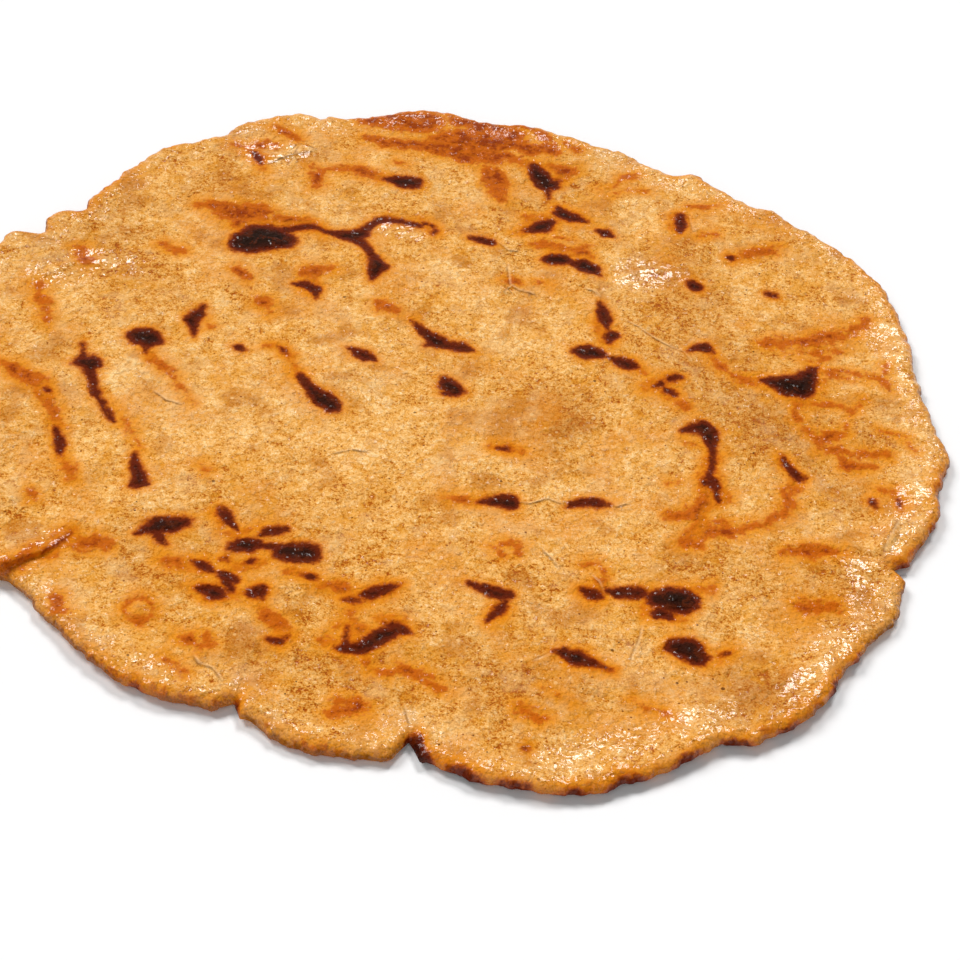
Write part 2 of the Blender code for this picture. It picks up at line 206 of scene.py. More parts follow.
FRONT_LEFT_CHAR = (
    (137, 532, 1.5, 147, 527, 6, 158, 525, 9.5, 171, 525, 9, 182, 522, 6.5, 192, 520, 1.5),
    (157, 532, 6, 161, 539, 4.5, 167, 544, 1),
    (221, 507, 2.4, 224, 513, 6, 229, 519, 5, 238, 527.5, 1.5),
    (259, 534.5, 1, 267, 530.5, 4, 278, 528.5, 4.8, 287, 527, 2.6),
    (230, 547, 2.4, 237, 544, 6.5, 248, 544, 7.5, 258, 543, 5),
    (258, 543, 3, 270, 543.5, 3, 282, 545, 4),
    (285, 550.5, 8, 295, 551, 10, 308, 550.5, 10),
    (222, 558, 0.8, 227, 558, 2.2),
    (243, 561, 0.8, 250, 559.5, 2.4, 256, 557.5, 1),
    (192, 560, 1, 202, 564, 5, 210, 570, 3, 216, 573, 0.6),
    (218, 573, 2, 226, 575.5, 5.5, 236, 579.5, 4),
    (227, 582, 5, 231, 589, 3.4),
    (198, 588, 2, 207, 589, 5.5, 215, 593, 7.5, 221, 596, 3),
    (252, 592, 4.5, 261, 588, 4.5, 263, 597, 2),
    (269, 638, 2.5, 279, 641, 3.6, 287, 637, 2.2),
    (300, 572, 0.8, 311, 574, 3.6, 316, 577, 1),
    (359, 594, 1.2, 370, 592, 6, 382, 588, 5.2, 393, 585, 3, 400, 583, 0.8),
    (385, 621, 1.4, 396, 624, 5, 404, 629, 5.5, 411, 632, 1.5),
    (335, 646, 1.2, 345, 648, 5, 356, 647, 6, 368, 643, 6.5, 380, 636, 8.5, 390, 632, 8, 398, 628, 4),
    (348, 624, 1.4, 348, 634, 2.6, 348, 642, 3),
    (345, 597, 1, 353, 598, 2.6, 361, 600, 0.8),
)
FRONT_RIGHT_CHAR = (
    (477, 499.5, 1, 489, 498, 4.2, 501, 498, 6.2, 511, 499, 7.4),
    (567, 504.5, 1, 575, 501.5, 3.6, 586, 500.5, 5, 598, 501, 4.4, 611, 501.5, 1),
    (467, 581, 1.6, 478, 584.5, 3.6, 490, 588, 5.4, 502, 591.5, 6, 512, 592, 4),
    (506, 600, 4, 501, 608, 5.6, 492, 615, 3.6, 487, 620, 0.8),
    (585, 587, 3, 592, 591, 6, 600, 594.5, 2.6),
    (608, 587, 2.4, 619, 590, 5.6, 632, 590, 6, 642, 590.5, 5.4),
    (659, 597, 9, 672, 598.5, 12.5, 685, 601, 12, 696, 606, 3),
    (661, 612, 7, 671, 616, 4),
    (669, 646, 3, 678, 645, 8.5, 688, 647, 12, 696, 654, 9, 710, 656, 1.5),
    (721, 655, 1, 729, 651, 1.6),
    (556, 651, 1.4, 567, 651.5, 5.5, 578, 656, 8.5, 590, 660, 5, 601, 664, 2, 611, 669, 0.5),
)
BACK_RIGHT_CHAR = (
    (534, 166, 4.5, 540, 174, 8, 546, 182, 8, 553, 184, 5, 561, 179, 1.4),
    (548, 188, 3.5, 549, 197, 1.4),
    (560, 206, 2.2, 563, 213, 6, 572, 217.5, 4.6, 584, 221.5, 1.4),
    (525, 229, 1.2, 534, 227.5, 4, 543, 225, 7, 551, 221, 4),
    (471, 236, 2, 481, 237.5, 4, 490, 239, 4),
    (597, 231, 1.6, 605, 233.5, 3.6, 613, 236, 1.4),
    (543, 258.5, 1.2, 552, 258, 5.6, 562, 260, 5.4, 571, 263, 2),
    (573, 265, 2.6, 583, 266, 6, 592, 268.5, 6.2, 599, 274, 2),
    (599, 301, 2.6, 603, 311, 7, 606, 319, 6.4, 607, 327, 1.2),
    (609, 329, 1, 612, 335, 7, 608, 343, 2),
    (576, 351, 2.6, 586, 352, 7.2, 598, 353.5, 5),
    (608, 357, 0.8, 618, 361, 5, 628, 364, 5.2, 636, 367, 2.4),
    (689, 351, 1.2, 697, 347.5, 4, 705, 348.5, 5, 711, 352, 2),
    (653, 386, 1, 661, 384, 2.6),
    (669, 380, 2.4, 676, 378, 2.8, 683, 378, 1.2),
    (663, 387, 1.2, 669, 391, 3, 675, 395, 1.6),
    (681, 216, 4, 681, 225, 5.8, 680, 231, 3),
    (694, 286, 5, 697, 287, 4.5),
)
RIGHT_CHAR = (
    (762, 380, 1.5, 774, 383, 6, 787, 386.5, 9.5, 799, 387, 12, 806, 379, 11, 812, 371, 6, 818, 367, 1.4),
    (781, 456, 1, 785, 463, 3.6, 792, 471, 4, 799, 476, 4, 806, 476, 1),
    (683, 430, 3, 694, 427.5, 5, 704, 427, 7, 710, 433, 8.5, 713, 443, 6, 714, 453, 2),
    (704, 482, 3.4, 715, 481, 3, 716, 490, 3.4),
    (874, 500, 3.6, 875, 506, 3),
    (899, 499, 0.8, 901, 506, 1),
)
BACK_CHAR = (
    (252, 152, 1.6, 258, 157, 3, 261, 163, 1),
)
CHARS = (
    BLISTER_CHAR + CENTRE_LEFT_CHAR + LEFT_CHAR + FRONT_LEFT_CHAR
    + FRONT_RIGHT_CHAR + BACK_RIGHT_CHAR + RIGHT_CHAR + BACK_CHAR
)
# Orange and brown toasting, read in the same way
BLISTER_TOAST = (
    (197, 203, 1.5, 211, 206, 3.5, 227, 210, 6.5, 245, 212, 8, 262, 212, 6, 272, 213, 2),
    (238, 222, 5, 250, 226, 8, 264, 226, 6),
    (276, 216, 2.5, 290, 221, 6, 304, 223, 6.5, 316, 226, 4.5, 322, 229, 2),
    (345, 169, 2, 358, 171, 3.4, 370, 174.5, 3, 384, 179, 2.4),
    (316, 174, 4.5, 317, 184, 4.5),
    (237, 267, 2, 243, 272.5, 3.4, 248, 279, 1.2),
    (305, 272, 1.5, 316, 269.5, 4.4, 332, 268, 1.2),
    (315, 276, 2.4, 309, 287, 6),
    (255, 302, 0.8, 262, 300, 3.4, 267, 306, 1.2, 272, 313, -0.6),
    (378, 304, 2, 386, 306, 3.4, 397, 309.5, 1),
    (424, 222, 2.4, 436, 229, 2.4),
    (398, 310, -1.4, 411, 317, -1),
)
CENTRE_LEFT_TOAST = (
    (207, 320, -1, 210, 326, -1),
    (264, 344, -1.6, 280, 347, 1, 290, 357, 1),
    (288, 357, -0.6, 296, 367, -0.6, 301, 374, 0),
)
LEFT_TOAST = (
    (149, 352, 1, 156, 358.5, 2.4, 163, 364, 2.6, 169, 369, 1.6),
    (169, 369, -0.4, 176, 379, -0.4, 183, 389, -0.8, 192, 402, -1.2),
    (118, 402, -1.4, 124, 414, -1.2, 132, 426, -1.4, 140, 446, -1.2),
    (
        2, 362, 1.6, 13, 367, 4.4, 25, 374, 6, 37, 381, 5.4, 44, 390, 4, 50, 402, 3.6, 55, 414, 3.6,
        58, 424, 3.4,
    ),
    (64, 458, 1, 68, 467, 2.6, 73, 478, 1.6),
    (33, 492, 1, 34, 497, 1),
    (199, 462, -0.6, 205, 469, 0.8),
)
FRONT_LEFT_TOAST = (
    (165, 659, 0, 178, 664, 1, 184, 674, 0),
    (163, 559, 1, 174, 562, 3.4, 187, 564, 2.6, 203, 564, 6),
    (217, 512, -0.4, 222, 530, -0.4, 234, 534, 0, 256, 526, 0),
    (224, 560, 2, 242, 566, 2.6, 262, 560, 1.4),
    (220, 574, 3.4, 228, 580, 8, 233, 590, 3.4),
    (200, 588, 3.4, 211, 591, 7.4, 222, 596, 3.4),
    (238, 593, 1.2, 247, 593, 2, 257, 591, 6),
    (262, 607, 1.2, 268, 614, 3.6, 276, 622, 4.6, 282, 630, 5, 284, 637, 4),
    (292, 570, 1.4, 304, 572, 3, 314, 575, 3.6),
    (321, 582, 1.4, 332, 583.5, 3.4, 344, 588, 5, 352, 595, 5.6, 354, 603, 4.4, 349, 610, 1.2),
    (366, 594, 5, 384, 588, 5.4, 398, 584, 1.6),
    (377, 613, -0.6, 388, 618, 1.4, 398, 624, 5),
    (326, 634, -1, 336, 626, 1, 350, 622, 3, 362, 630, 4, 370, 640, 6),
    (322, 640, -1, 334, 642, 2, 350, 642, 5),
    (401, 667, 1.4, 412, 671, 3.6, 430, 674, 2),
    (362, 656, -1, 372, 668, -1, 390, 672, -0.6),
)
FRONT_RIGHT_TOAST = (
    (447, 494, 0.4, 460, 496, 1.2, 478, 499, 1.4),
    (499, 542, 0.4, 509, 543.5, 3, 516, 545, 2.4),
    (517, 546, 0.4, 519, 555, 0),
    (492, 544, -1.4, 506, 556, -1.4),
    (583, 563, 1.4, 591, 561, 2.8, 598, 561, 1),
    (600, 567, 0.4, 603, 569, 0.4),
    (596, 577, 1.2, 601, 580, 1.6),
    (586, 588, 3.6, 596, 593, 5),
    (646, 602, 1.8, 648, 612, 1.8),
    (664, 606, 12, 676, 612, 7),
    (692, 591.5, 1.4, 702, 589.5, 2, 713, 586.5, 0.6),
    (689, 650, 8, 704, 656, 3),
    (719, 655, 2.4, 728, 651, 3.4, 733, 648, 1),
    (580, 657, 7, 597, 664, 3.4, 613, 670, 0.6),
    (500, 609, 5, 491, 618, 2),
)
BACK_TOAST = (
    (364, 121, 3, 380, 122, 5, 400, 121.5, 6.4, 418, 123, 8, 432, 122, 7),
    (
        366, 138, 1, 385, 142, 3.2, 405, 143.5, 3.4, 425, 145.5, 4.2, 442, 148, 5.4, 456, 151, 6.4,
        470, 155, 7,
    ),
    (436, 138, 3, 452, 138, 7, 470, 140, 11, 486, 141, 13, 502, 140, 11, 513, 139, 7),
    (458, 122, 4, 474, 124, 7, 490, 128, 7, 504, 133, 6),
    (446, 152, 2, 470, 152, 6, 492, 156, 6, 510, 157, 3),
    (512, 146, 3, 530, 152, 4, 546, 150, 4, 556, 152, 1.6),
    (514, 127, 1.4, 530, 130, 1.6, 543, 138, 2.4, 549, 148, 2.4),
    (566, 148, 0.4, 580, 151.5, 0.8),
    (486, 166, 2, 493, 172, 8, 496, 182, 9, 499, 192, 5, 503, 199, 1.4),
    (517, 161, 1.2, 528, 163.5, 2.4, 536, 167, 4),
    (547, 166, 2, 560, 171, 4, 569, 170, 3, 577, 167, 0.8),
    (556, 180, 4, 566, 174, 2),
    (276, 125, 1, 284, 132, 3, 297, 137.5, 1.2),
    (231, 145, 0.4, 250, 147, 1.2, 264, 145, 1.6, 276, 144, 1),
    (250, 150, 2, 259, 157, 3.4, 262, 166, 1),
    (309, 166, 0.4, 322, 168, 1.4, 336, 167, 0.8),
    (396, 161, -0.6, 406, 164, 0),
)
BACK_RIGHT_TOAST = (
    (599, 189, -0.4, 613, 186, 0.6, 624, 178, 0.4, 636, 175, 0.2),
    (612, 192, 0.6, 630, 190, -0.6, 646, 190, 0.2),
    (524, 214, 0.6, 534, 219, 2.4, 546, 219, 3),
    (519, 230, 1.4, 532, 228, 3.6, 544, 225, 6),
    (560, 212, 5, 574, 218, 4),
    (535, 242, 1.4, 543, 243.5, 2.4, 552, 247, 2, 566, 251, 2.6, 580, 250, 2.4, 587, 247, 1.2),
    (572, 256, 2, 584, 254, 4),
    (555, 237, -0.6, 575, 240, -0.8),
    (507, 278.5, 0.6, 514, 280, 1.6, 520, 282, 0.4),
    (533, 282, -1.4, 548, 285, -1.2),
    (598, 318, 2, 604, 334, 2, 606, 343, 2),
    (634, 366, 3, 641, 370.5, 1.6, 645, 373, 0),
    (712, 356, 1.6, 717, 363, 3.4, 723, 369, 1.6),
    (724, 370, -0.4, 735, 376, 1, 747, 380.5, 3, 762, 383, 2.4),
    (645, 388, 1.4, 656, 385, 3, 668, 380, 2.6),
    (664, 388, 2.4, 672, 395, 3.4, 680, 403, 2.6, 687, 410, 0.4),
    (690, 206, -0.6, 704, 207, 1, 720, 204, -0.6),
    (700, 238, -0.6, 716, 236, 0.4),
    (676, 218, 4, 676, 228, 3),
)
RIGHT_TOAST = (
    (767, 344.5, 2.8, 780, 342.5, 3, 796, 342, 3, 813, 340, 4.4, 830, 337, 3.2, 845, 334, 2, 855, 333, 0.6),
    (845, 334, 1, 858, 327, 2, 868, 321, 1.6),
    (798, 350, 0, 818, 352, 0.8, 838, 349, 0),
    (800, 358, -0.4, 816, 362, -0.2, 830, 356, -0.8),
    (818, 370, 2.4, 832, 374, 1, 850, 378, 0, 868, 380, -0.8),
    (818, 384, 1, 824, 380, 1),
    (782, 390, 1, 796, 402, 1.4, 797, 416, 1, 804, 426, 1.4, 818, 436, 2.4),
    (800, 401, 0.4, 820, 404, 0.6, 840, 404, 0),
    (822, 438, 3.4, 832, 434, 3.2, 843, 431, 1),
    (822, 448, 1.4, 836, 448, 2.2, 850, 450, 1.2, 870, 453, 1.2, 890, 456, 0.6),
    (841, 456, 1, 847, 464.5, 4, 858, 464, 2.4, 872, 463.5, 0.6),
    (860, 400, -0.8, 852, 412, -0.8, 846, 424, -0.6),
    (885, 366, -1.2, 886, 380, -1, 891, 393, -1),
    (880, 430, -1.4, 904, 436, -1.2, 914, 452, -1.4),
    (783, 462, 3, 797, 475, 3),
    (712, 455, 4.4, 712, 468, 5, 707, 480, 8, 712, 492, 9, 724, 496, 4),
    (708, 500, 6, 699, 507, 6),
    (670, 514, 2, 680, 514.5, 3, 690, 514, 2),
    (695, 508, 5, 704, 522, 8, 699, 532, 8, 690, 539, 5),
    (683, 539, 3.4, 698, 543, 2),
    (706, 530, 5, 720, 529, 4.6, 735, 529, 3, 750, 526, 1.6),
    (748, 526, 1.6, 763, 523, 2, 776, 516, 2.4, 787, 508, 5, 791, 496, 5, 795, 484, 3),
    (712, 519, 2, 728, 519, 2.2),
    (880, 488, 1, 890, 490, 1.6, 897, 498, 2.4, 902, 508, 2),
    (786, 552.5, 1.6, 796, 550, 4, 808, 549.5, 4.4, 822, 549, 3, 840, 550, 1),
    (668, 480, -1.2, 676, 479, -1),
    (683, 440, -1.4, 700, 446, -1),
)
TOASTS = (
    BLISTER_TOAST + CENTRE_LEFT_TOAST + LEFT_TOAST + FRONT_LEFT_TOAST
    + FRONT_RIGHT_TOAST + BACK_TOAST + BACK_RIGHT_TOAST + RIGHT_TOAST
)
# Finer streaks: x and y in pixels, half width in millimetres
CHAR_STREAKS = (
    (714, 440, 0.9, 713, 458, 0.6, 709, 474, 0.7, 711, 482, 1),
    (704, 478, 0.5, 716, 490, 0.7, 717, 500, 0.4),
    (697, 534, -0.6, 703, 518, -0.5, 708, 506, -0.6),
)
TOAST_STREAKS = (
    (628, 697, -0.6, 645, 704, -0.1, 668, 715, -0.5),
    (541, 685, -1.2, 556, 692, -1, 573, 703, -1.3),
    (426, 680, 0.1, 440, 686, 0.2, 450, 690, -0.2),
    (822, 370, 0.2, 850, 372, 0.2, 884, 381, -0.2),
    (785, 354, -0.5, 815, 353, -0.2, 845, 350, -0.4),
)
# Marks placed on the bread, all in millimetres. The last of each is painted shade along the left split, under
# its upper lobe
PLACED_CHAR_AND_LIP_SHADE = (
    (57.6, 56.6, 1),
    (65.4, 45.6, 0.6, 67.6, 45.4, 0.6),
    (10.6, -12.8, 0.6, 12.6, -12.7, 0.6),
    (21.8, -89.7, 0.45),
    # Painted shade in the slit under the left split's upper lobe
    (-73.6, -57.4, 0, -71.4, -55, 0.2, -70, -52.4, 0.2, -69.4, -50.6, 0),
)
PLACED_TOAST_AND_LIP_SHADE = (
    (-85, 32, 0.8, -83, 28, 0.8),
    (-92, 19, 0.6, -87, 8, 0.5),
    (-68, 38.4, 0.8, -64, 36.6, 0.7),
    (58.6, 56.6, 0.9, 62, 58.8, 0.8, 68, 61.2, 0.7),
    (72.4, -46.6, 1.3, 75, -47.4, 1.2, 79, -45.6, 0.7),
    (9, -12.9, 0.6, 14.8, -12.6, 0.5),
    (20.2, -80.6, 0.8, 23.6, -82.4, 0.8),
    (-67, -53.6, 1.2, -64.4, -52.6, 1.6, -62.6, -53.4, 1),
    (-12.6, -84, 1.2, -9.6, -85.4, 1.4, -13.6, -87, 1),
    (-68.4, -68.4, 0.8, -67.4, -70.4, 1),
    (
        -55.6, -67.8, -0.2, -54, -66, 0.1, -51.7, -66, -0.1, -50.2, -67.7, -0.2, -50.4, -70, 0.2,
        -52.4, -71.5, 0.5, -54.7, -71, 0.1, -55.9, -69.3, -0.3, -55.6, -67.8, -0.2,
    ),
    (-43.5, -73.8, 0.4, -42.2, -74.1, 1),
    (-39.7, -73.5, 0.2, -38.9, -74.8, 0.6, -40, -75.8, 0),
    # Painted shade along the left split, under its upper lobe
    (-83, -65.4, 0.5, -78, -61, 0.8, -73, -57.2, 1.2, -69.6, -51, 0.9),
)
# Burnt rim: bearing, half width in degrees, reach inwards
RIM_BURNS = (
    (271.5, 2.6, 4), (276.5, 3.6, 2), (281.5, 4, 1.2), (287.5, 3.4, 1.2), (293, 5, 1.4),
    (300, 4, 1.1), (306, 2.8, 1.3), (312, 3, 0.9), (319.6, 2.6, 1.5), (325, 2.2, 1),
    (341.2, 1.6, 0.8), (250.4, 1.4, 0.9), (98, 8, 0.7), (88, 3, 0.5), (240, 2, 0.4),
    (348, 2.4, 0.5), (61.6, 1.4, 0.5), (196, 3, 0.6), (176, 2.5, 0.5), (20, 2, 0.4),
    (135, 2, 0.4),
)
RIM_TOASTS = (
    (98, 14, 3.2), (274, 7, 2.2), (292, 10, 1.2), (315, 16, 1.2), (342, 6, 1.2),
    (240, 16, 0.6), (355, 10, 0.6), (30, 12, 0.4), (60, 8, 0.5), (150, 12, 0.5),
    (190, 22, 0.8), (260, 8, 0.6),
)
# Fine cracks and folds in the photograph's pixels, as paths whose right side is lower; the material paints
# shade along each and a highlight on its higher side
CRACKS = (
    ((506, 258), (508, 270), (509, 283), (518, 288), (530, 291), (541, 298)),
    ((509, 283), (503, 292)),
    ((498, 240), (508, 248), (521, 250)),
    ((583, 287), (593, 290), (601, 297)),
    ((618, 316), (638, 326), (656, 339), (672, 348), (684, 352), (693, 366)),
    ((692, 336), (684, 345)),
    ((540, 546), (551, 556), (559, 567)),
    ((642, 620), (638, 638), (631, 654), (629, 666)),
    ((512, 499), (530, 501), (548, 497), (560, 501), (568, 505)),
    ((609, 503), (618, 505), (630, 501)),
    ((590, 572), (599, 581), (604, 593)),
    ((608, 351), (601, 361)),
    ((262, 166), (280, 158), (300, 154), (320, 149)),
    ((320, 149), (300, 143), (282, 146)),
    ((300, 143), (292, 158), (284, 168)),
    ((402, 700), (408, 722), (410, 738)),
    ((905, 508), (894, 528), (885, 544), (880, 560)),
    ((688, 212), (690, 224), (692, 234)),
    ((150, 386), (166, 398), (186, 404)),
    ((330, 452), (352, 448), (372, 452)),
    ((560, 640), (548, 652), (530, 660)),
)
# A fold placed in millimetres
PLACED_FOLD = ((-41.5, -77.6), (-39.9, -80), (-37, -80.8), (-34.5, -84.2))
# Oily, glossy patches: strokes of x, y, half width
OIL = (
    (83.5, -34, 3.5, 86.5, -42, 5, 85, -47, 4.5),
    (80, -54, 5, 77, -60, 5),
    (73, -66, 3.5, 70.5, -69.5, 3.5),
    (58, -76, 3.5, 50, -80, 5),
    (44, -84, 4, 34, -89, 5, 24, -93, 3),
    (36, 47, 6, 44, 48, 4),
    (93, 36, 6, 98, 22, 4),
    (-90, 24, 6, -82, 28, 6, -75, 30, 5),
    (-52, 74, 5, -44, 76, 4),
    (-78, -55, 3.5, -72, -53, 3),
    (-22, 53, 3, -14, 52, 3),
    (96, -12, 4, 91, -26, 5),
    (-50, -81, 2.5, -40, -86, 2.5),
)
# Browner and greyer patches, and paler ones: x, y, radius, strength
TONED = (
    (45, 50, 16, 0.9), (20, -2, 15, 1.4), (85, -14, 12, 1), (-30, -76, 11, 0.9),
    (62, -70, 15, 1.8), (-92, -30, 14, 0.4), (70, 70, 14, 0.6), (-60, 60, 14, 0.6),
    (8, 40, 9, 0.5), (60, 8, 24, 0.9), (22, -74, 24, 0.8), (-34, -48, 26, 0.5),
    (50, 30, 24, 0.6), (-54, -52, 16, 0.6), (-24, -8, 34, -0.9), (-58, -12, 30, -1),
    (8, 22, 20, -0.3), (26, -34, 20, -0.4), (54, 42, 6, 0.5), (88, 3, 8, 0.7),
    (78, -44, 20, 0.8), (16, 72, 22, 0.5), (-82, 36, 20, 0.5), (-8, -74, 20, 0.8),
    (52, -36, 20, 0.5), (74, 2, 20, 0.8), (-68, 24, 12, 0.5), (40, 12, 14, 0.5),
)

# Underside, which the photograph doesn't show: random toasted spots
UNDER_SPOTS = 90
UNDER_SEED = 2718
UNDER_REACH = 92.0

# Middle of the outline's box, which the model's origin lies under
CENTRE = (-1.602, 0.119)

# Lip: how far its edge leans out, and its own rows of points
LIP_LEAN = 1.1
LIP_OFFSETS = (-1.1, -0.7, -0.45, -0.2, 0, 0.2, 0.45, 0.8)
LIP_STEP = 0.6
LIP_CLEARANCE = 1.3

# Marks: how far their fields reach, how much they are warped, and the limit of the rim's field
FIELD_REACH = 9.0
MARK_WARPS = ((0.35, 4.3, 41, 47), (0.14, 1.9, 43, 53))
RIM_LIMIT = 20.0
# Colours of the plain dough: its value, then the colour
DOUGH_COLOURS = (
    (0.03, (166, 76, 0)), (0.25, (208, 132, 38)), (0.46, (230, 166, 80)),
    (0.70, (243, 184, 106)), (0.98, (252, 210, 146)),
)
# Tints of the dough: spacing, from and to in the noise, strength, colour
TINTS = (
    (13, 0.00, 0.16, 0.50, (218, 130, 16)),
    (4.6, 0.00, 0.14, 0.40, (224, 146, 26)),
    (5.7, 0.04, 0.18, 0.40, (228, 178, 116)),
    (9, 0.05, 0.20, 0.45, (176, 96, 20)),
)
# Toasting and burning: from and to in millimetres inside the mark, strength, colour
TOAST_STEPS = (
    (-3.7, -0.8, 0.70, (226, 136, 8)),
    (-1.3, 0.1, 0.92, (190, 88, 0)),
    (0.3, 1.7, 0.85, (134, 42, 0)),
)
CHAR_STEPS = (
    (-2.8, -0.4, 0.60, (226, 134, 8)),
    (-0.95, 0.05, 0.85, (170, 68, 0)),
    (-0.35, 0.45, 1.00, (98, 24, 0)),
    (0.5, 1.7, 1.00, (46, 4, 0)),
    (1.7, 3.2, 0.85, (14, 0, 0)),
)
# Bran: spacing, radius, share of places, squeeze, turn, two colours to pick between, strength
BRAN = (
    (1.5, 0.16, 0.35, (1, 1, 1), 0, (60, 20, 0), (140, 62, 8), 0.85),
    (2.4, 0.24, 0.30, (1, 2.6, 1), 0.6, (160, 66, 6), (204, 106, 22), 0.60),
    (2.1, 0.22, 0.30, (1, 2.8, 1), 2.2, (136, 66, 10), (190, 102, 28), 0.60),
    (1.7, 0.30, 0.35, (1, 1, 1), 1.1, (252, 212, 150), (246, 198, 130), 0.50),
    (7, 0.28, 0.60, (1, 1, 1), 0.3, (50, 20, 2), (104, 50, 10), 0.80),
)

# Paints of single parts of the dough: strength, colour
BROWNER = (0.32, (164, 90, 28))
WRINKLED = (0.45, (172, 94, 16))
# Painted highlight on the higher side of each crack, and painted shade along the crack itself
CRACK_PAINTED_HIGHLIGHT = (0.30, (255, 218, 166))
CRACK_PAINTED_SHADE = (0.50, (116, 60, 18))
SIDE = (0.15, (190, 118, 44))
FLECKED = (0.45, (130, 64, 12))
LOWEST_EDGE = (0.80, (104, 46, 8))
EMBER = (0.60, (88, 28, 2))
# How far inside a mark toasting still counts, how strong finer noise is, and the sheen
TOAST_LIMIT = 0.9
OCTAVE_SHARE = 0.55
DOUGH_ROUGHNESS = 0.66
CRUST_ROUGHNESS = 0.62
COAT_ROUGHNESS = 0.16
SPECULAR_LEVEL = 0.12
SPECULAR_TINT = (1.0, 0.62, 0.28, 1)

# Floor, and lamps: name, bearing, elevation, spread in degrees, strength
FLOOR_SIDE = 6000.0
FLOOR_WHITE = 0.9
LAMPS = (
    ("key", 152.0, 48.0, 24.0, 1.75),
    ("fill", 262.0, 44.0, 60.0, 0.78),
    ("glint", 78.0, 50.0, 18.0, 1.6),
)
# Strength of the surround high up and at the horizon, and the heights between which it changes
SURROUND = 0.12
HORIZON = 1.3
HORIZON_BAND = (0.08, 0.24)

# Camera
TARGET = (9.0, -20.6, 0.0)
CAMERA_DISTANCE = 460.0
ELEVATION = 45.0
ROLL = 7.0
LENS = 85.0
SENSOR = 36.0
# Side of the photograph in pixels, and the height on the bread at which its marks were read
PICTURE_SIDE = 960
MARK_HEIGHT = 3.0


def rim_table():
    """Bearings and radii of all the rim's knots, in order."""
    table = np.array([knot for lobe in LOBES for knot in lobe], float)
    return table[:, 0], table[:, 1]


def turn_between(bearing, centre):
    """How far each bearing is from centre, from 0 to 180 degrees."""
    return np.abs((bearing - centre + 180) % 360 - 180)


def rim_radius(bearing):
    """Radius of the outline at each bearing: a curve through the knots that never overshoots them."""
    knots, radii = rim_table()
    span = np.diff(knots, append=knots[0] + 360)
    slope = np.diff(radii, append=radii[0]) / span
    before = np.roll(slope, 1)
    same_way = before * slope > 0
    tangent = np.where(same_way, 2 * before * slope / np.where(same_way, before + slope, 1), 0)
    bearing = bearing % 360
    k = np.searchsorted(knots, bearing, side="right") - 1
    after = (k + 1) % len(knots)
    t = (bearing - knots[k]) / span[k]
    radius = (
        radii[k] * (1 + 2 * t) * (1 - t) ** 2
        + radii[after] * t**2 * (3 - 2 * t)
        + span[k] * (tangent[k] * t * (1 - t) ** 2 - tangent[after] * t**2 * (1 - t))
    )
    for height, waves, phase in RAGGED + FINE_RAGGED:
        radius = radius + height * np.sin(np.radians(bearing) * waves + phase)
    for centre, depth, width in NICKS:
        radius = radius - depth * np.clip(1 - turn_between(bearing, centre) / width, 0, 1)
    return radius


def rim_points(spacing):
    """Points along the outline, about evenly spaced, with one in the apex of each nick."""
    bearing = np.linspace(0, 360, RIM_SAMPLES, endpoint=False)
    radius = rim_radius(bearing)
    x = radius * np.cos(np.radians(bearing))
    y = radius * np.sin(np.radians(bearing))
    step = np.hypot(np.diff(x, append=x[0]), np.diff(y, append=y[0]))
    along = np.concatenate([[0], np.cumsum(step)[:-1]])
    count = round(step.sum() / spacing)
    places = np.linspace(0, step.sum(), count, endpoint=False)
    kept = np.searchsorted(along, places)
    apexes = np.searchsorted(bearing, [nick[0] for nick in NICKS])
    for apex in apexes:
        kept[np.argmin(np.abs(kept - apex))] = apex
    kept = np.unique(np.clip(kept, 0, len(bearing) - 1))
    return np.column_stack([x[kept], y[kept]])


def rim_finder():
    """A search tree of closely spaced outline points."""
    points = rim_points(FINE_RIM_SPACING)
    tree = kdtree.KDTree(len(points))
    for index, (x, y) in enumerate(points):
        tree.insert((x, y, 0), index)
    tree.balance()
    return tree


def rim_distance(tree, points):
    """Distance from each point to the outline."""
    return np.array([tree.find((x, y, 0))[2] for x, y in points])


def smooth(t):
    """Eases from 0 to 1 as t does."""
    t = np.clip(t, 0, 1)
    return t * t * (3 - 2 * t)


def bump(t):
    """1 at t = 0, easing to 0 at t = 1."""
    return smooth(1 - np.abs(t))


def noise(x, y, spacing, seed):
    """Smooth noise from -1 to 1, with bumps about the given spacing apart."""
    table = np.random.default_rng(seed).uniform(-1, 1, (NOISE_TABLE, NOISE_TABLE))
    turn = 0.7 + seed
    u = (x * math.cos(turn) - y * math.sin(turn)) / spacing
    v = (x * math.sin(turn) + y * math.cos(turn)) / spacing
    i, j = np.floor(u).astype(int), np.floor(v).astype(int)
    s, t = smooth(u - i), smooth(v - j)
    i, j, right, above = i % NOISE_TABLE, j % NOISE_TABLE, (i + 1) % NOISE_TABLE, (j + 1) % NOISE_TABLE
    near = table[i, j] * (1 - s) + table[right, j] * s
    far = table[i, above] * (1 - s) + table[right, above] * s
    return near * (1 - t) + far * t


def along_path(x, y, path):
    """Distance to a path, plus on its right and minus on its left, and the place along it, 0 to 1."""
    path = np.array(path, float)
    lengths = np.hypot(*np.diff(path, axis=0).T)
    starts = np.concatenate([[0], np.cumsum(lengths)]) / lengths.sum()
    nearest = np.full(np.shape(x), np.inf)
    side = np.ones(np.shape(x))
    place = np.zeros(np.shape(x))
    for k, length in enumerate(lengths):
        ux, uy = (path[k + 1] - path[k]) / length
        dx, dy = x - path[k, 0], y - path[k, 1]
        t = np.clip(dx * ux + dy * uy, 0, length)
        distance = np.hypot(dx - t * ux, dy - t * uy)
        closer = distance < nearest
        nearest = np.where(closer, distance, nearest)
        side = np.where(closer, np.where(dx * uy - dy * ux > 0, 1, -1), side)
        place = np.where(closer, starts[k] + (starts[k + 1] - starts[k]) * t / length, place)
    return nearest * side, place


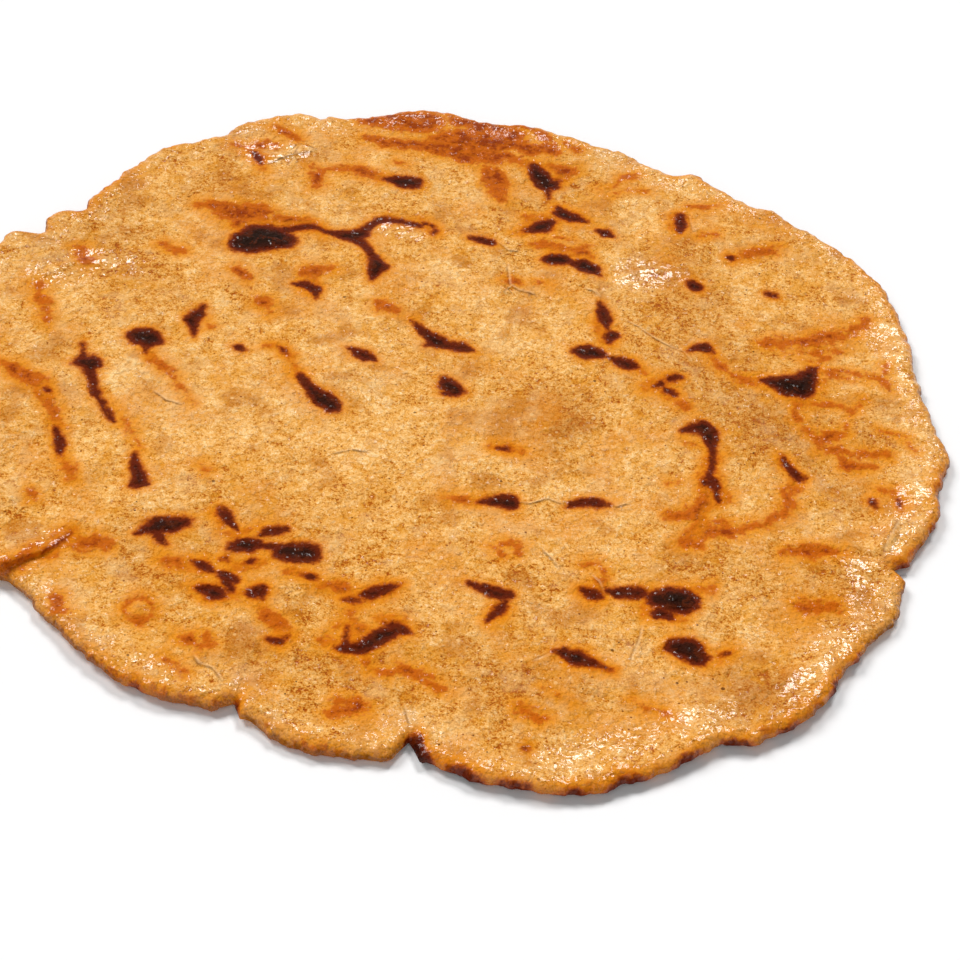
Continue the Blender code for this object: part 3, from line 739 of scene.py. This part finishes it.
def left_split(x, y):
    """The step at the lip: the upper lobe rises towards it and the lower one dips under it."""
    distance, place = along_path(x, y, LEFT_LIP)
    above = LIP_RISE * bump(distance / LIP_REACH)
    below = -LIP_DIP * bump(2 * distance / LIP_REACH)
    on_top = smooth(0.5 - distance / LIP_WALL)
    return smooth(1.15 - place) * (below + (above - below) * on_top)


def taper(place):
    """Eases a ridge down to nearly nothing at both its ends."""
    return smooth(4 * place + 0.3) * smooth(4 * (1 - place) + 0.3)


def relief(x, y):
    """Height of the splits, creases, ridges, blisters and unevenness."""
    height = left_split(x, y)
    for path, depth, width in CREASES:
        distance, place = along_path(x, y, path)
        height = height - depth * bump(distance / width) * (1 - 0.6 * place)
    for path, rise, width in RIDGES:
        distance, place = along_path(x, y, path)
        height = height + rise * bump(distance / width) * taper(place)
    for cx, cy, radius, rise in BLISTERS:
        height = height + rise * bump(np.hypot(x - cx, y - cy) / radius)
    for rise, spacing, seed in UNEVENNESS:
        height = height + rise * noise(x, y, spacing, seed)
    return height


def fine_relief(x, y, marks):
    """Small bumps of the top, larger where it is oily, and sunken crusts in the burnt marks."""
    height = np.zeros(np.shape(x))
    for rise, spacing, seed in FINE_UNEVENNESS:
        height = height + rise * noise(x, y, spacing, seed)
    rise, spacing, seed = OILY_BUMPS
    height = height + rise * marks["oil"] * noise(x, y, spacing, seed)
    crust = smooth((marks["char"] + 0.4) / 1.2)
    depth, uneven, spacing, seed = CRUST_PITS
    return height - crust * (depth - uneven * noise(x, y, spacing, seed))


def edge_profile(distance):
    """How full the rounded edge is, 0 at the outline and 1 where the rounding ends."""
    t = np.clip(distance / EDGE_ROUND, 0, 1)
    return np.sqrt(1 - (1 - t) ** 2)


def under_height(x, y, distance):
    """Height of the underside: 0 where it rests, lifted at the curls and in shallow pits."""
    bearing = np.degrees(np.arctan2(y, x))
    lift = np.zeros(np.shape(x))
    for centre, rise, width in CURLS:
        lift = lift + rise * bump(turn_between(bearing, centre) / (2 * width))
    lift = lift * smooth(1 - distance / CURL_REACH)
    outside = smooth((np.hypot(x, y) - CONTACT_RADIUS) / CONTACT_FADE)
    pits = np.zeros(np.shape(x))
    for depth, spacing, seed in (UNDERSIDE_PITS, FINE_PITS):
        pits = pits + depth * np.maximum(0, noise(x, y, spacing, seed))
    return lift + outside * pits


def body_thickness(x, y, distance, fine):
    """Thickness of the sheet inside the rounded edge."""
    share, spacing, seed = SWELL_NOISE
    uneven = 1 + share * noise(x, y, spacing, seed)
    swell = RIM_SWELL * bump(distance / RIM_SWELL_REACH) * uneven
    return np.maximum(LEAST_THICKNESS, THICKNESS + swell + relief(x, y) + fine)


def heights(x, y, distance, fine):
    """Heights of the underside and the top."""
    under = under_height(x, y, distance)
    thickness = body_thickness(x, y, distance, fine)
    full = edge_profile(distance)
    level = under + EDGE_LEVEL * thickness
    return level + (under - level) * full, level + (under + thickness - level) * full


def inset_rings(rim, insets, tree):
    """Copies of the outline moved inwards, without points that come too near another stretch."""
    ahead = np.roll(rim, -1, axis=0) - np.roll(rim, 1, axis=0)
    inward = np.column_stack([-ahead[:, 1], ahead[:, 0]]) / np.hypot(*ahead.T)[:, None]
    rings = []
    for k, inset in enumerate(insets):
        ring = (rim + np.roll(rim, -1, axis=0)) / 2 if k % 2 else rim
        moved = ring + inward * inset
        rings.append(spread(moved[rim_distance(tree, moved) > 0.9 * inset]))
    return np.concatenate(rings)


def spread(points):
    """The points, without those that come too near an earlier one."""
    kept = points[:1]
    for point in points[1:]:
        if np.hypot(*(kept - point).T).min() > LEAST_GAP:
            kept = np.vstack([kept, point])
    return kept


def lattice(spacing):
    """Points of a triangular lattice."""
    row_gap = spacing * math.sqrt(3) / 2
    rows = int(REACH / row_gap)
    columns = int(REACH / spacing)
    i, j = np.meshgrid(np.arange(-columns, columns + 1), np.arange(-rows, rows + 1))
    x = (i + 0.5 * (j % 2)) * spacing
    y = j * row_gap
    return np.column_stack([x.ravel(), y.ravel()])


def lip_rows():
    """Rows of points beside the lip, which keep its wall crisp."""
    path = np.array(LEFT_LIP, float)
    rows = []
    for start, end in zip(path[:-1], path[1:]):
        ahead = (end - start) / np.hypot(*(end - start))
        aside = np.array([ahead[1], -ahead[0]])
        for place in np.arange(0, np.hypot(*(end - start)), LIP_STEP):
            rows += [start + ahead * place + aside * offset for offset in LIP_OFFSETS]
    return spread(np.array(rows))


def top_lattice():
    """The lattice of the top, with rows of its own along the lip."""
    grid = lattice(TOP_SPACING)
    away = np.abs(along_path(grid[:, 0], grid[:, 1], LEFT_LIP)[0]) > LIP_CLEARANCE
    return np.concatenate([lip_rows(), grid[away]])


def triangulate(rim, inner):
    """Triangles over the outline that use all the points, numbered rim first, counter-clockwise."""
    flat = np.concatenate([rim, inner])
    points = [Vector(point) for point in flat]
    loop = [(k, (k + 1) % len(rim)) for k in range(len(rim))]
    _, _, faces, sources, _, _ = delaunay_2d_cdt(points, loop, [], 1, 1e-6)
    faces = np.array([[sources[corner][0] for corner in face] for face in faces])
    a, b, c = (flat[faces[:, k]] for k in range(3))
    turned = (b - a)[:, 0] * (c - a)[:, 1] - (b - a)[:, 1] * (c - a)[:, 0] < 0
    faces[turned] = faces[turned][:, ::-1]
    return faces


def sheet_points(rim, tree, insets, grid):
    """Inset rings and the lattice points that lie further in than the last ring."""
    bearing = np.degrees(np.arctan2(grid[:, 1], grid[:, 0]))
    grid = grid[np.hypot(*grid.T) < rim_radius(bearing)]
    grid = grid[rim_distance(tree, grid) > insets[-1] + RING_CLEARANCE]
    return np.concatenate([inset_rings(rim, insets, tree), grid])


def camera_axes():
    """Right, up and back of the photograph's view: from the front, high, and slightly rolled."""
    e, r = math.radians(ELEVATION), math.radians(ROLL)
    back = Vector((0, -math.cos(e), math.sin(e)))
    level, steep = Vector((1, 0, 0)), Vector((0, math.sin(e), math.cos(e)))
    return level * math.cos(r) + steep * math.sin(r), steep * math.cos(r) - level * math.sin(r), back


def on_bread(x, y):
    """The place, in the outline's millimetres, that the photograph shows at this pixel."""
    right, up, back = (np.array(axis) for axis in camera_axes())
    scale = LENS / SENSOR * PICTURE_SIDE
    ray = (x - PICTURE_SIDE / 2) / scale * right + (PICTURE_SIDE / 2 - y) / scale * up - back
    eye = np.array(TARGET) + CAMERA_DISTANCE * back
    place = eye + (MARK_HEIGHT - eye[2]) / ray[2] * ray
    return place[:2] + CENTRE


def stroke_on_bread(stroke):
    """A stroke in pixels, in millimetres: its half width is measured across it on the bread."""
    points = np.reshape(stroke, (-1, 3))
    moved = []
    for k, (x, y, width) in enumerate(points):
        ahead = (points[min(k + 1, len(points) - 1)] - points[max(k - 1, 0)])[:2]
        ux, uy = ahead / np.hypot(*ahead)
        place = on_bread(x, y)
        along = on_bread(x + ux, y + uy) - place
        aside = on_bread(x - uy * abs(width), y + ux * abs(width)) - place
        across = abs(aside[0] * along[1] - aside[1] * along[0]) / np.hypot(*along)
        moved += [*place, math.copysign(across, width)]
    return moved


def streak_on_bread(streak):
    """A streak whose half width is in millimetres already."""
    return [number for x, y, width in np.reshape(streak, (-1, 3)) for number in (*on_bread(x, y), width)]


def all_strokes(read, streaks, placed):
    """All strokes of one kind, in the outline's millimetres."""
    return [stroke_on_bread(s) for s in read] + [streak_on_bread(s) for s in streaks] + list(placed)


def stroke_field(x, y, strokes):
    """Half width less distance, for the stroke where that is most: plus inside a mark, minus outside."""
    best = np.full(np.shape(x), -FIELD_REACH)
    for stroke in strokes:
        points = np.reshape(stroke, (-1, 3))
        for k in range(max(1, len(points) - 1)):
            ax, ay, first = points[k]
            bx, by, last = points[min(k + 1, len(points) - 1)]
            ux, uy = bx - ax, by - ay
            t = np.clip(((x - ax) * ux + (y - ay) * uy) / max(ux * ux + uy * uy, 1e-9), 0, 1)
            width = first + (last - first) * t
            best = np.maximum(best, width - np.hypot(x - ax - t * ux, y - ay - t * uy))
    return best


def rim_field(x, y, distance, under, burns):
    """The same for marks on the rim, which reach further on its lower half."""
    bearing = np.degrees(np.arctan2(y, x))
    best = np.full(np.shape(x), -FIELD_REACH)
    for centre, width, reach in burns:
        depth = np.where(under, reach + 0.8, 0.45 * reach) + 2
        best = np.maximum(best, depth * bump(turn_between(bearing, centre) / (1.4 * width)) - 2 - distance)
    return best


def crack_fields(x, y):
    """Distance to the nearest crack, plus on its right, and its depth, fading at its ends and beside it."""
    nearest = np.full(np.shape(x), FIELD_REACH)
    depth = np.zeros(np.shape(x))
    read = [[on_bread(*pixel) for pixel in path] for path in CRACKS]
    for path in read + [PLACED_FOLD]:
        distance, place = along_path(x, y, path)
        closer = np.abs(distance) < np.abs(nearest)
        nearest = np.where(closer, distance, nearest)
        shown = smooth(5 * place) * smooth(5 * (1 - place)) * smooth(2 - np.abs(distance))
        depth = np.where(closer, shown, depth)
    return nearest, depth


def under_spots():
    """Random toasted and burnt spots of the underside."""
    pick = np.random.default_rng(UNDER_SEED)
    char, toast = [], []
    for _ in range(UNDER_SPOTS):
        radius = UNDER_REACH * math.sqrt(pick.uniform())
        bearing = pick.uniform(0, 2 * math.pi)
        x, y = radius * math.cos(bearing), radius * math.sin(bearing)
        turn, length = pick.uniform(0, 2 * math.pi), pick.uniform(0.5, 7)
        width = pick.uniform(0.5, 2.4)
        end = (x + length * math.cos(turn), y + length * math.sin(turn), width * pick.uniform(0.4, 1))
        stroke = (x, y, width) + end
        (char if pick.uniform() < 0.45 else toast).append(stroke)
    return char, toast


def surface_marks(x, y, distance, under):
    """All the fields that the material reads, for each point."""
    wx, wy = x, y
    for reach, spacing, x_seed, y_seed in MARK_WARPS:
        wx = wx + reach * noise(x, y, spacing, x_seed)
        wy = wy + reach * noise(x, y, spacing, y_seed)
    # The placed strokes also carry painted shade under the left split's upper lobe into the char and toast
    # fields
    char = stroke_field(wx, wy, all_strokes(CHARS, CHAR_STREAKS, PLACED_CHAR_AND_LIP_SHADE))
    toast = stroke_field(wx, wy, all_strokes(TOASTS, TOAST_STREAKS, PLACED_TOAST_AND_LIP_SHADE))
    under_char, under_toast = (stroke_field(wx, wy, spots) for spots in under_spots())
    char = np.where(under, under_char, char)
    toast = np.where(under, under_toast, toast)
    char = np.maximum(char, rim_field(x, y, distance, under, RIM_BURNS))
    toast = np.maximum(toast, rim_field(x, y, distance, under, RIM_TOASTS))
    oil = np.zeros(np.shape(x))
    for stroke in OIL:
        widest = max(stroke[2::3])
        oil = np.maximum(oil, smooth(stroke_field(x, y, (stroke,)) / (0.7 * widest) + 0.3))
    tone = np.zeros(np.shape(x))
    for cx, cy, radius, strength in TONED:
        tone = tone + strength * bump(np.hypot(x - cx, y - cy) / radius)
    crack, crack_depth = crack_fields(x, y)
    return {
        "char": char,
        "toast": toast,
        "oil": np.where(under, 0, oil),
        "tone": np.where(under, 0.35, tone),
        "crack": crack,
        "crack_depth": np.where(under, 0, crack_depth),
        "rim": np.minimum(distance, RIM_LIMIT),
    }


def bread_mesh():
    """The closed mesh: top and underside share the outline's points."""
    tree = rim_finder()
    rim = rim_points(RIM_SPACING)
    top = sheet_points(rim, tree, TOP_INSETS, top_lattice())
    under = sheet_points(rim, tree, UNDER_INSETS, lattice(UNDER_SPACING))
    flat = np.concatenate([rim, top, under])
    distance = rim_distance(tree, flat)
    distance[: len(rim)] = 0
    x, y = flat.T
    below = np.arange(len(flat)) >= len(rim) + len(top)
    marks = surface_marks(x, y, distance, below)
    low, high = heights(x, y, distance, fine_relief(x, y, marks) * ~below)
    points = np.column_stack([flat + lip_overhang(x, y) * ~below[:, None], np.where(below, low, high)])
    points[:, :2] -= CENTRE

    top_faces = triangulate(rim, top)
    under_faces = triangulate(rim, under)
    under_faces = np.where(under_faces < len(rim), under_faces, under_faces + len(top))[:, ::-1]
    faces = np.concatenate([top_faces, under_faces])
    mesh = bpy.data.meshes.new(NODE + "_looks")
    mesh.from_pydata((points * MM).tolist(), [], faces.tolist())
    for name, values in marks.items():
        layer = mesh.attributes.new(name, "FLOAT", "POINT")
        layer.data.foreach_set("value", values.astype(np.float32))
    mesh.shade_smooth()
    mesh.update()
    return mesh


def lip_overhang(x, y):
    """How far the upper lobe's edge leans over the lower lobe at the left split."""
    distance, place = along_path(x, y, LEFT_LIP)
    near, _ = along_path(x + 0.01, y, LEFT_LIP)
    far, _ = along_path(x, y + 0.01, LEFT_LIP)
    away = np.column_stack([near - distance, far - distance]) / 0.01
    length = np.maximum(np.hypot(*away.T), 1e-6)[:, None]
    lean = LIP_LEAN * smooth(0.5 - distance / LIP_WALL) * bump(distance / (3 * LIP_LEAN))
    lean = lean * smooth(1.2 - place)
    return away / length * lean[:, None]


def linear(red, green, blue):
    """A colour as it looks on a screen, 0 to 255, as the light that it reflects."""
    shares = np.array([red, green, blue]) / 255
    return tuple(np.where(shares <= 0.04045, shares / 12.92, ((shares + 0.055) / 1.055) ** 2.4)) + (1.0,)


class Shading:
    """Short names for the nodes of one material."""

    def __init__(self, name):
        self.material = bpy.data.materials.new(name)
        self.material.use_nodes = True
        self.tree = self.material.node_tree
        self.shader = self.tree.nodes["Principled BSDF"]
        self.place = self.tree.nodes.new("ShaderNodeTexCoord").outputs["Object"]

    def feed(self, socket, value):
        if isinstance(value, bpy.types.NodeSocket):
            self.tree.links.new(value, socket)
        else:
            socket.default_value = value

    def node(self, kind, inputs, **settings):
        """The outputs of a new node with these settings and inputs."""
        node = self.tree.nodes.new("ShaderNode" + kind)
        for name, value in settings.items():
            setattr(node, name, value)
        for key, value in inputs.items():
            self.feed(node.inputs[key], value)
        return node.outputs

    def attribute(self, name):
        return self.node("Attribute", {}, attribute_name=name)["Fac"]

    def math(self, operation, first, second=0.0):
        return self.node("Math", {0: first, 1: second}, operation=operation)[0]

    def times(self, first, second):
        return self.math("MULTIPLY", first, second)

    def total(self, first, *terms):
        """The first value plus every (value, factor) term."""
        for value, factor in terms:
            first = self.math("ADD", first, self.times(value, factor))
        return first

    def noise(self, spacing, detail):
        """Noise from -0.5 to 0.5, with features about spacing millimetres apart."""
        inputs = {
            "Vector": self.place, "Scale": 1 / (spacing * MM),
            "Detail": detail, "Roughness": OCTAVE_SHARE,
        }
        return self.math("SUBTRACT", self.node("TexNoise", inputs)["Fac"], 0.5)

    def specks(self, spacing, radius, share, squeeze, turn):
        """Spots scattered about spacing apart, in the given share of places, and a random number each."""
        inputs = {"Vector": self.place, "Scale": squeeze, "Rotation": (0, 0, turn)}
        turned = self.node("Mapping", inputs)["Vector"]
        cells = self.node("TexVoronoi", {"Vector": turned, "Scale": 1 / (spacing * MM)})
        place_pick, size_pick, paint_pick = self.node("SeparateColor", {0: cells["Color"]})
        size = self.times(self.math("ADD", size_pick, 0.5), radius / spacing)
        inside = self.step(self.math("DIVIDE", cells["Distance"], size), 1.25, 0.75)
        chosen = self.step(place_pick, 1 - share, 1 - share + 0.02)
        return self.times(inside, chosen), paint_pick

    def wrinkles(self, spacing, gaps):
        """Short curved lines, where a noise crosses its middle, broken up by a second one."""
        line = self.step(self.math("ABSOLUTE", self.noise(spacing, 1)), 0.035, 0.005)
        return self.times(line, self.step(self.noise(gaps, 1), -0.03, 0.08))

    def step(self, value, low, high):
        """0 below low and 1 above high, easing between them; low may be above high."""
        falls = low > high
        inputs = {
            "Value": value, "From Min": min(low, high), "From Max": max(low, high),
            "To Min": 1.0 if falls else 0.0, "To Max": 0.0 if falls else 1.0,
        }
        return self.node("MapRange", inputs, interpolation_type="SMOOTHSTEP")["Result"]

    def mix(self, share, first, second):
        return self.node("Mix", {0: share, 6: first, 7: second}, data_type="RGBA")[2]

    def blend(self, share, first, second):
        """The same for numbers."""
        return self.node("Mix", {0: share, 2: first, 3: second})[0]

    def paint(self, colour, share, strength, tone):
        """The colour, painted over with the tone as far as share and strength say."""
        return self.mix(self.times(share, strength), colour, linear(*tone))

    def layers(self, colour, value, steps):
        """The colour under one paint after another, each from its own level of the value on."""
        for low, high, strength, tone in steps:
            colour = self.paint(colour, self.step(value, low, high), strength, tone)
        return colour

    def bumps(self, height):
        """The normal of a surface with this height in millimetres."""
        return self.node("Bump", {"Distance": MM, "Height": height})["Normal"]

    def ramp(self, value, stops):
        node = self.tree.nodes.new("ShaderNodeValToRGB")
        node.color_ramp.interpolation = "EASE"
        elements = node.color_ramp.elements
        while len(elements) < len(stops):
            elements.new(0.5)
        for element, (place, colour) in zip(elements, stops):
            element.position = place
            element.color = linear(*colour)
        self.feed(node.inputs[0], value)
        return node.outputs["Color"]


def dough_material():
    """Toasted wheat dough: grain, bran, orange toasting, dark glossy burns and oily patches."""
    s = Shading("toasted_dough_looks")
    broad, patch, mottle = s.noise(27, 1), s.noise(6.5, 2), s.noise(1.9, 2)
    grain, fine = s.noise(0.75, 2), s.noise(0.34, 1)

    tone = s.attribute("tone")
    value = s.total(0.54, (broad, 0.4), (patch, 0.9), (mottle, 1.0), (grain, 1.2), (fine, 1.2), (tone, -0.16))
    colour = s.paint(s.ramp(value, DOUGH_COLOURS), tone, *BROWNER)
    for spacing, low, high, strength, tint in TINTS:
        colour = s.paint(colour, s.step(s.noise(spacing, 2), low, high), strength, tint)
    wrinkles = s.math("MAXIMUM", s.wrinkles(1.25, 2.6), s.wrinkles(1.9, 3.4))
    colour = s.paint(colour, wrinkles, *WRINKLED)
    for spacing, radius, share, squeeze, turn, dark, light, strength in BRAN:
        spot, pick = s.specks(spacing, radius, share, squeeze, turn)
        bran = s.mix(pick, linear(*dark), linear(*light))
        colour = s.mix(s.times(spot, strength), colour, bran)

    # The toast and char fields also hold painted shade under the left split's upper lobe
    toast = s.math("MINIMUM", s.attribute("toast"), TOAST_LIMIT)
    toast = s.total(toast, (s.noise(3.1, 2), 4.0), (mottle, 2.8), (grain, 1.7), (fine, 0.8))
    colour = s.layers(colour, toast, TOAST_STEPS)

    crack, crack_depth = s.attribute("crack"), s.attribute("crack_depth")
    # Painted highlight: a lighter band on the higher side of each crack
    crack_highlight_share = s.times(s.step(crack, -0.9, -0.3), s.step(crack, -0.05, -0.2))
    colour = s.paint(colour, s.times(crack_highlight_share, crack_depth), *CRACK_PAINTED_HIGHLIGHT)
    # Painted shade: a dark line along each crack, broken up by noise
    line = s.times(s.step(s.math("ABSOLUTE", crack), 0.5, 0.05), crack_depth)
    line = s.times(line, s.step(s.total(mottle, (grain, 0.6)), -0.16, 0.06))
    colour = s.paint(colour, line, *CRACK_PAINTED_SHADE)
    fold = s.times(s.step(crack, 0.4, -0.4), crack_depth)

    rim = s.attribute("rim")
    side = s.step(s.total(rim, (mottle, 3.0), (grain, 1.5)), 2.6, 0.3)
    flecks = s.times(side, s.step(s.total(mottle, (grain, 0.8)), 0.02, 0.13))
    lowest = s.step(s.total(rim, (mottle, 1.2)), 0.5, 0.05)
    for share, paint in ((side, SIDE), (flecks, FLECKED), (lowest, LOWEST_EDGE)):
        colour = s.paint(colour, share, *paint)

    char = s.total(s.attribute("char"), (s.noise(2.1, 2), 1.3), (grain, 0.9))
    colour = s.layers(colour, char, CHAR_STEPS)
    crust = s.step(char, -0.3, 0.5)
    colour = s.paint(colour, s.times(crust, s.step(mottle, 0.03, 0.14)), *EMBER)

    oil = s.math("MAXIMUM", s.attribute("oil"), s.times(s.step(rim, 9.0, 1.5), 0.6))
    rough = s.total(DOUGH_ROUGHNESS, (mottle, 0.35), (grain, 0.2))
    moist = s.step(s.total(s.noise(1.1, 2), (oil, 0.22)), 0.06, 0.16)
    wet = s.times(oil, s.step(s.total(s.noise(7.5, 1), (mottle, 0.5)), -0.05, 0.09))
    film = s.math("MAXIMUM", s.times(moist, s.blend(oil, 0.28, 0.8)), s.times(wet, 0.85))
    drops = s.times(s.blend(wet, 0.45, 0.28), s.noise(1.3, 1))
    waves = s.times(s.blend(wet, 0.7, 0.3), s.noise(2.8, 0))
    height = s.total(
        drops, (mottle, 0.55), (grain, 0.36), (fine, 0.13),
        (s.times(crust, patch), 0.8), (fold, 0.3), (s.times(side, mottle), 0.7),
    )
    inputs = {
        "Base Color": colour,
        "Roughness": s.blend(crust, rough, CRUST_ROUGHNESS),
        "Normal": s.bumps(height),
        "Coat Weight": s.blend(crust, film, s.times(moist, 0.35)),
        "Coat Normal": s.bumps(s.math("ADD", drops, waves)),
        "Coat Roughness": COAT_ROUGHNESS,
        "Specular IOR Level": SPECULAR_LEVEL,
        "Specular Tint": SPECULAR_TINT,
    }
    for name, value in inputs.items():
        s.feed(s.shader.inputs[name], value)
    return s.material


def make_bread():
    bread = bpy.data.objects.new("flatbread_looks", bread_mesh())
    bread.data.materials.append(dough_material())
    bpy.context.scene.collection.objects.link(bread)
    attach(bread, "root")
    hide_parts(NODE)


def make_floor():
    """A wide plain floor, nearly white."""
    mesh = bpy.data.meshes.new("floor")
    edge = FLOOR_SIDE / 2 * MM
    corners = [(-edge, -edge, 0), (edge, -edge, 0), (edge, edge, 0), (-edge, edge, 0)]
    mesh.from_pydata(corners, [], [(0, 1, 2, 3)])
    floor = bpy.data.objects.new("floor", mesh)
    material = bpy.data.materials.new("floor_paint")
    material.use_nodes = True
    shader = material.node_tree.nodes["Principled BSDF"]
    shader.inputs["Base Color"].default_value = (FLOOR_WHITE, FLOOR_WHITE, FLOOR_WHITE, 1)
    shader.inputs["Roughness"].default_value = 0.9
    shader.inputs["Specular IOR Level"].default_value = 0.1
    mesh.materials.append(material)
    bpy.context.scene.collection.objects.link(floor)


def make_light():
    """Wide soft lamps far away, and a surround that is brighter at the horizon."""
    for name, bearing, elevation, spread_angle, strength in LAMPS:
        lamp = bpy.data.lights.new(name, "SUN")
        lamp.energy = strength
        lamp.angle = math.radians(spread_angle)
        thing = bpy.data.objects.new(name, lamp)
        b, e = math.radians(bearing), math.radians(elevation)
        towards = Vector((math.cos(b) * math.cos(e), math.sin(b) * math.cos(e), math.sin(e)))
        thing.rotation_euler = towards.to_track_quat("Z", "Y").to_euler()
        bpy.context.scene.collection.objects.link(thing)
    world = bpy.data.worlds.new("surround")
    world.use_nodes = True
    nodes, links = world.node_tree.nodes, world.node_tree.links
    facing = nodes.new("ShaderNodeTexCoord").outputs["Generated"]
    split = nodes.new("ShaderNodeSeparateXYZ")
    level = nodes.new("ShaderNodeMapRange")
    level.inputs["From Min"].default_value, level.inputs["From Max"].default_value = HORIZON_BAND
    level.inputs["To Min"].default_value, level.inputs["To Max"].default_value = HORIZON, SURROUND
    links.new(facing, split.inputs["Vector"])
    links.new(split.outputs["Z"], level.inputs["Value"])
    links.new(level.outputs["Result"], nodes["Background"].inputs["Strength"])
    nodes["Background"].inputs["Color"].default_value = (1.0, 1.0, 1.0, 1)
    bpy.context.scene.world = world


def make_camera():
    right, up, back = camera_axes()
    lens = bpy.data.cameras.new("camera")
    lens.lens = LENS
    lens.sensor_width = SENSOR
    lens.clip_start = 0.01
    camera = bpy.data.objects.new("camera", lens)
    turned = Matrix((right, up, back)).transposed().to_4x4()
    camera.matrix_world = Matrix.Translation((Vector(TARGET) + back * CAMERA_DISTANCE) * MM) @ turned
    bpy.context.scene.collection.objects.link(camera)
    bpy.context.scene.camera = camera


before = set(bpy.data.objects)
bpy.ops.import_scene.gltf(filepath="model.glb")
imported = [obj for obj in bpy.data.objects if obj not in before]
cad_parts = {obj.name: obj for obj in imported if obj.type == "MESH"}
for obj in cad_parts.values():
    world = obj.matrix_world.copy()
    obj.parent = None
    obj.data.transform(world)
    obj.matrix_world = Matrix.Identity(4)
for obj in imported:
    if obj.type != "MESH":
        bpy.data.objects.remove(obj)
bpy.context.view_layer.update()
bpy.context.scene.view_settings.view_transform = "Standard"
make_bread()
make_floor()
make_light()
make_camera()
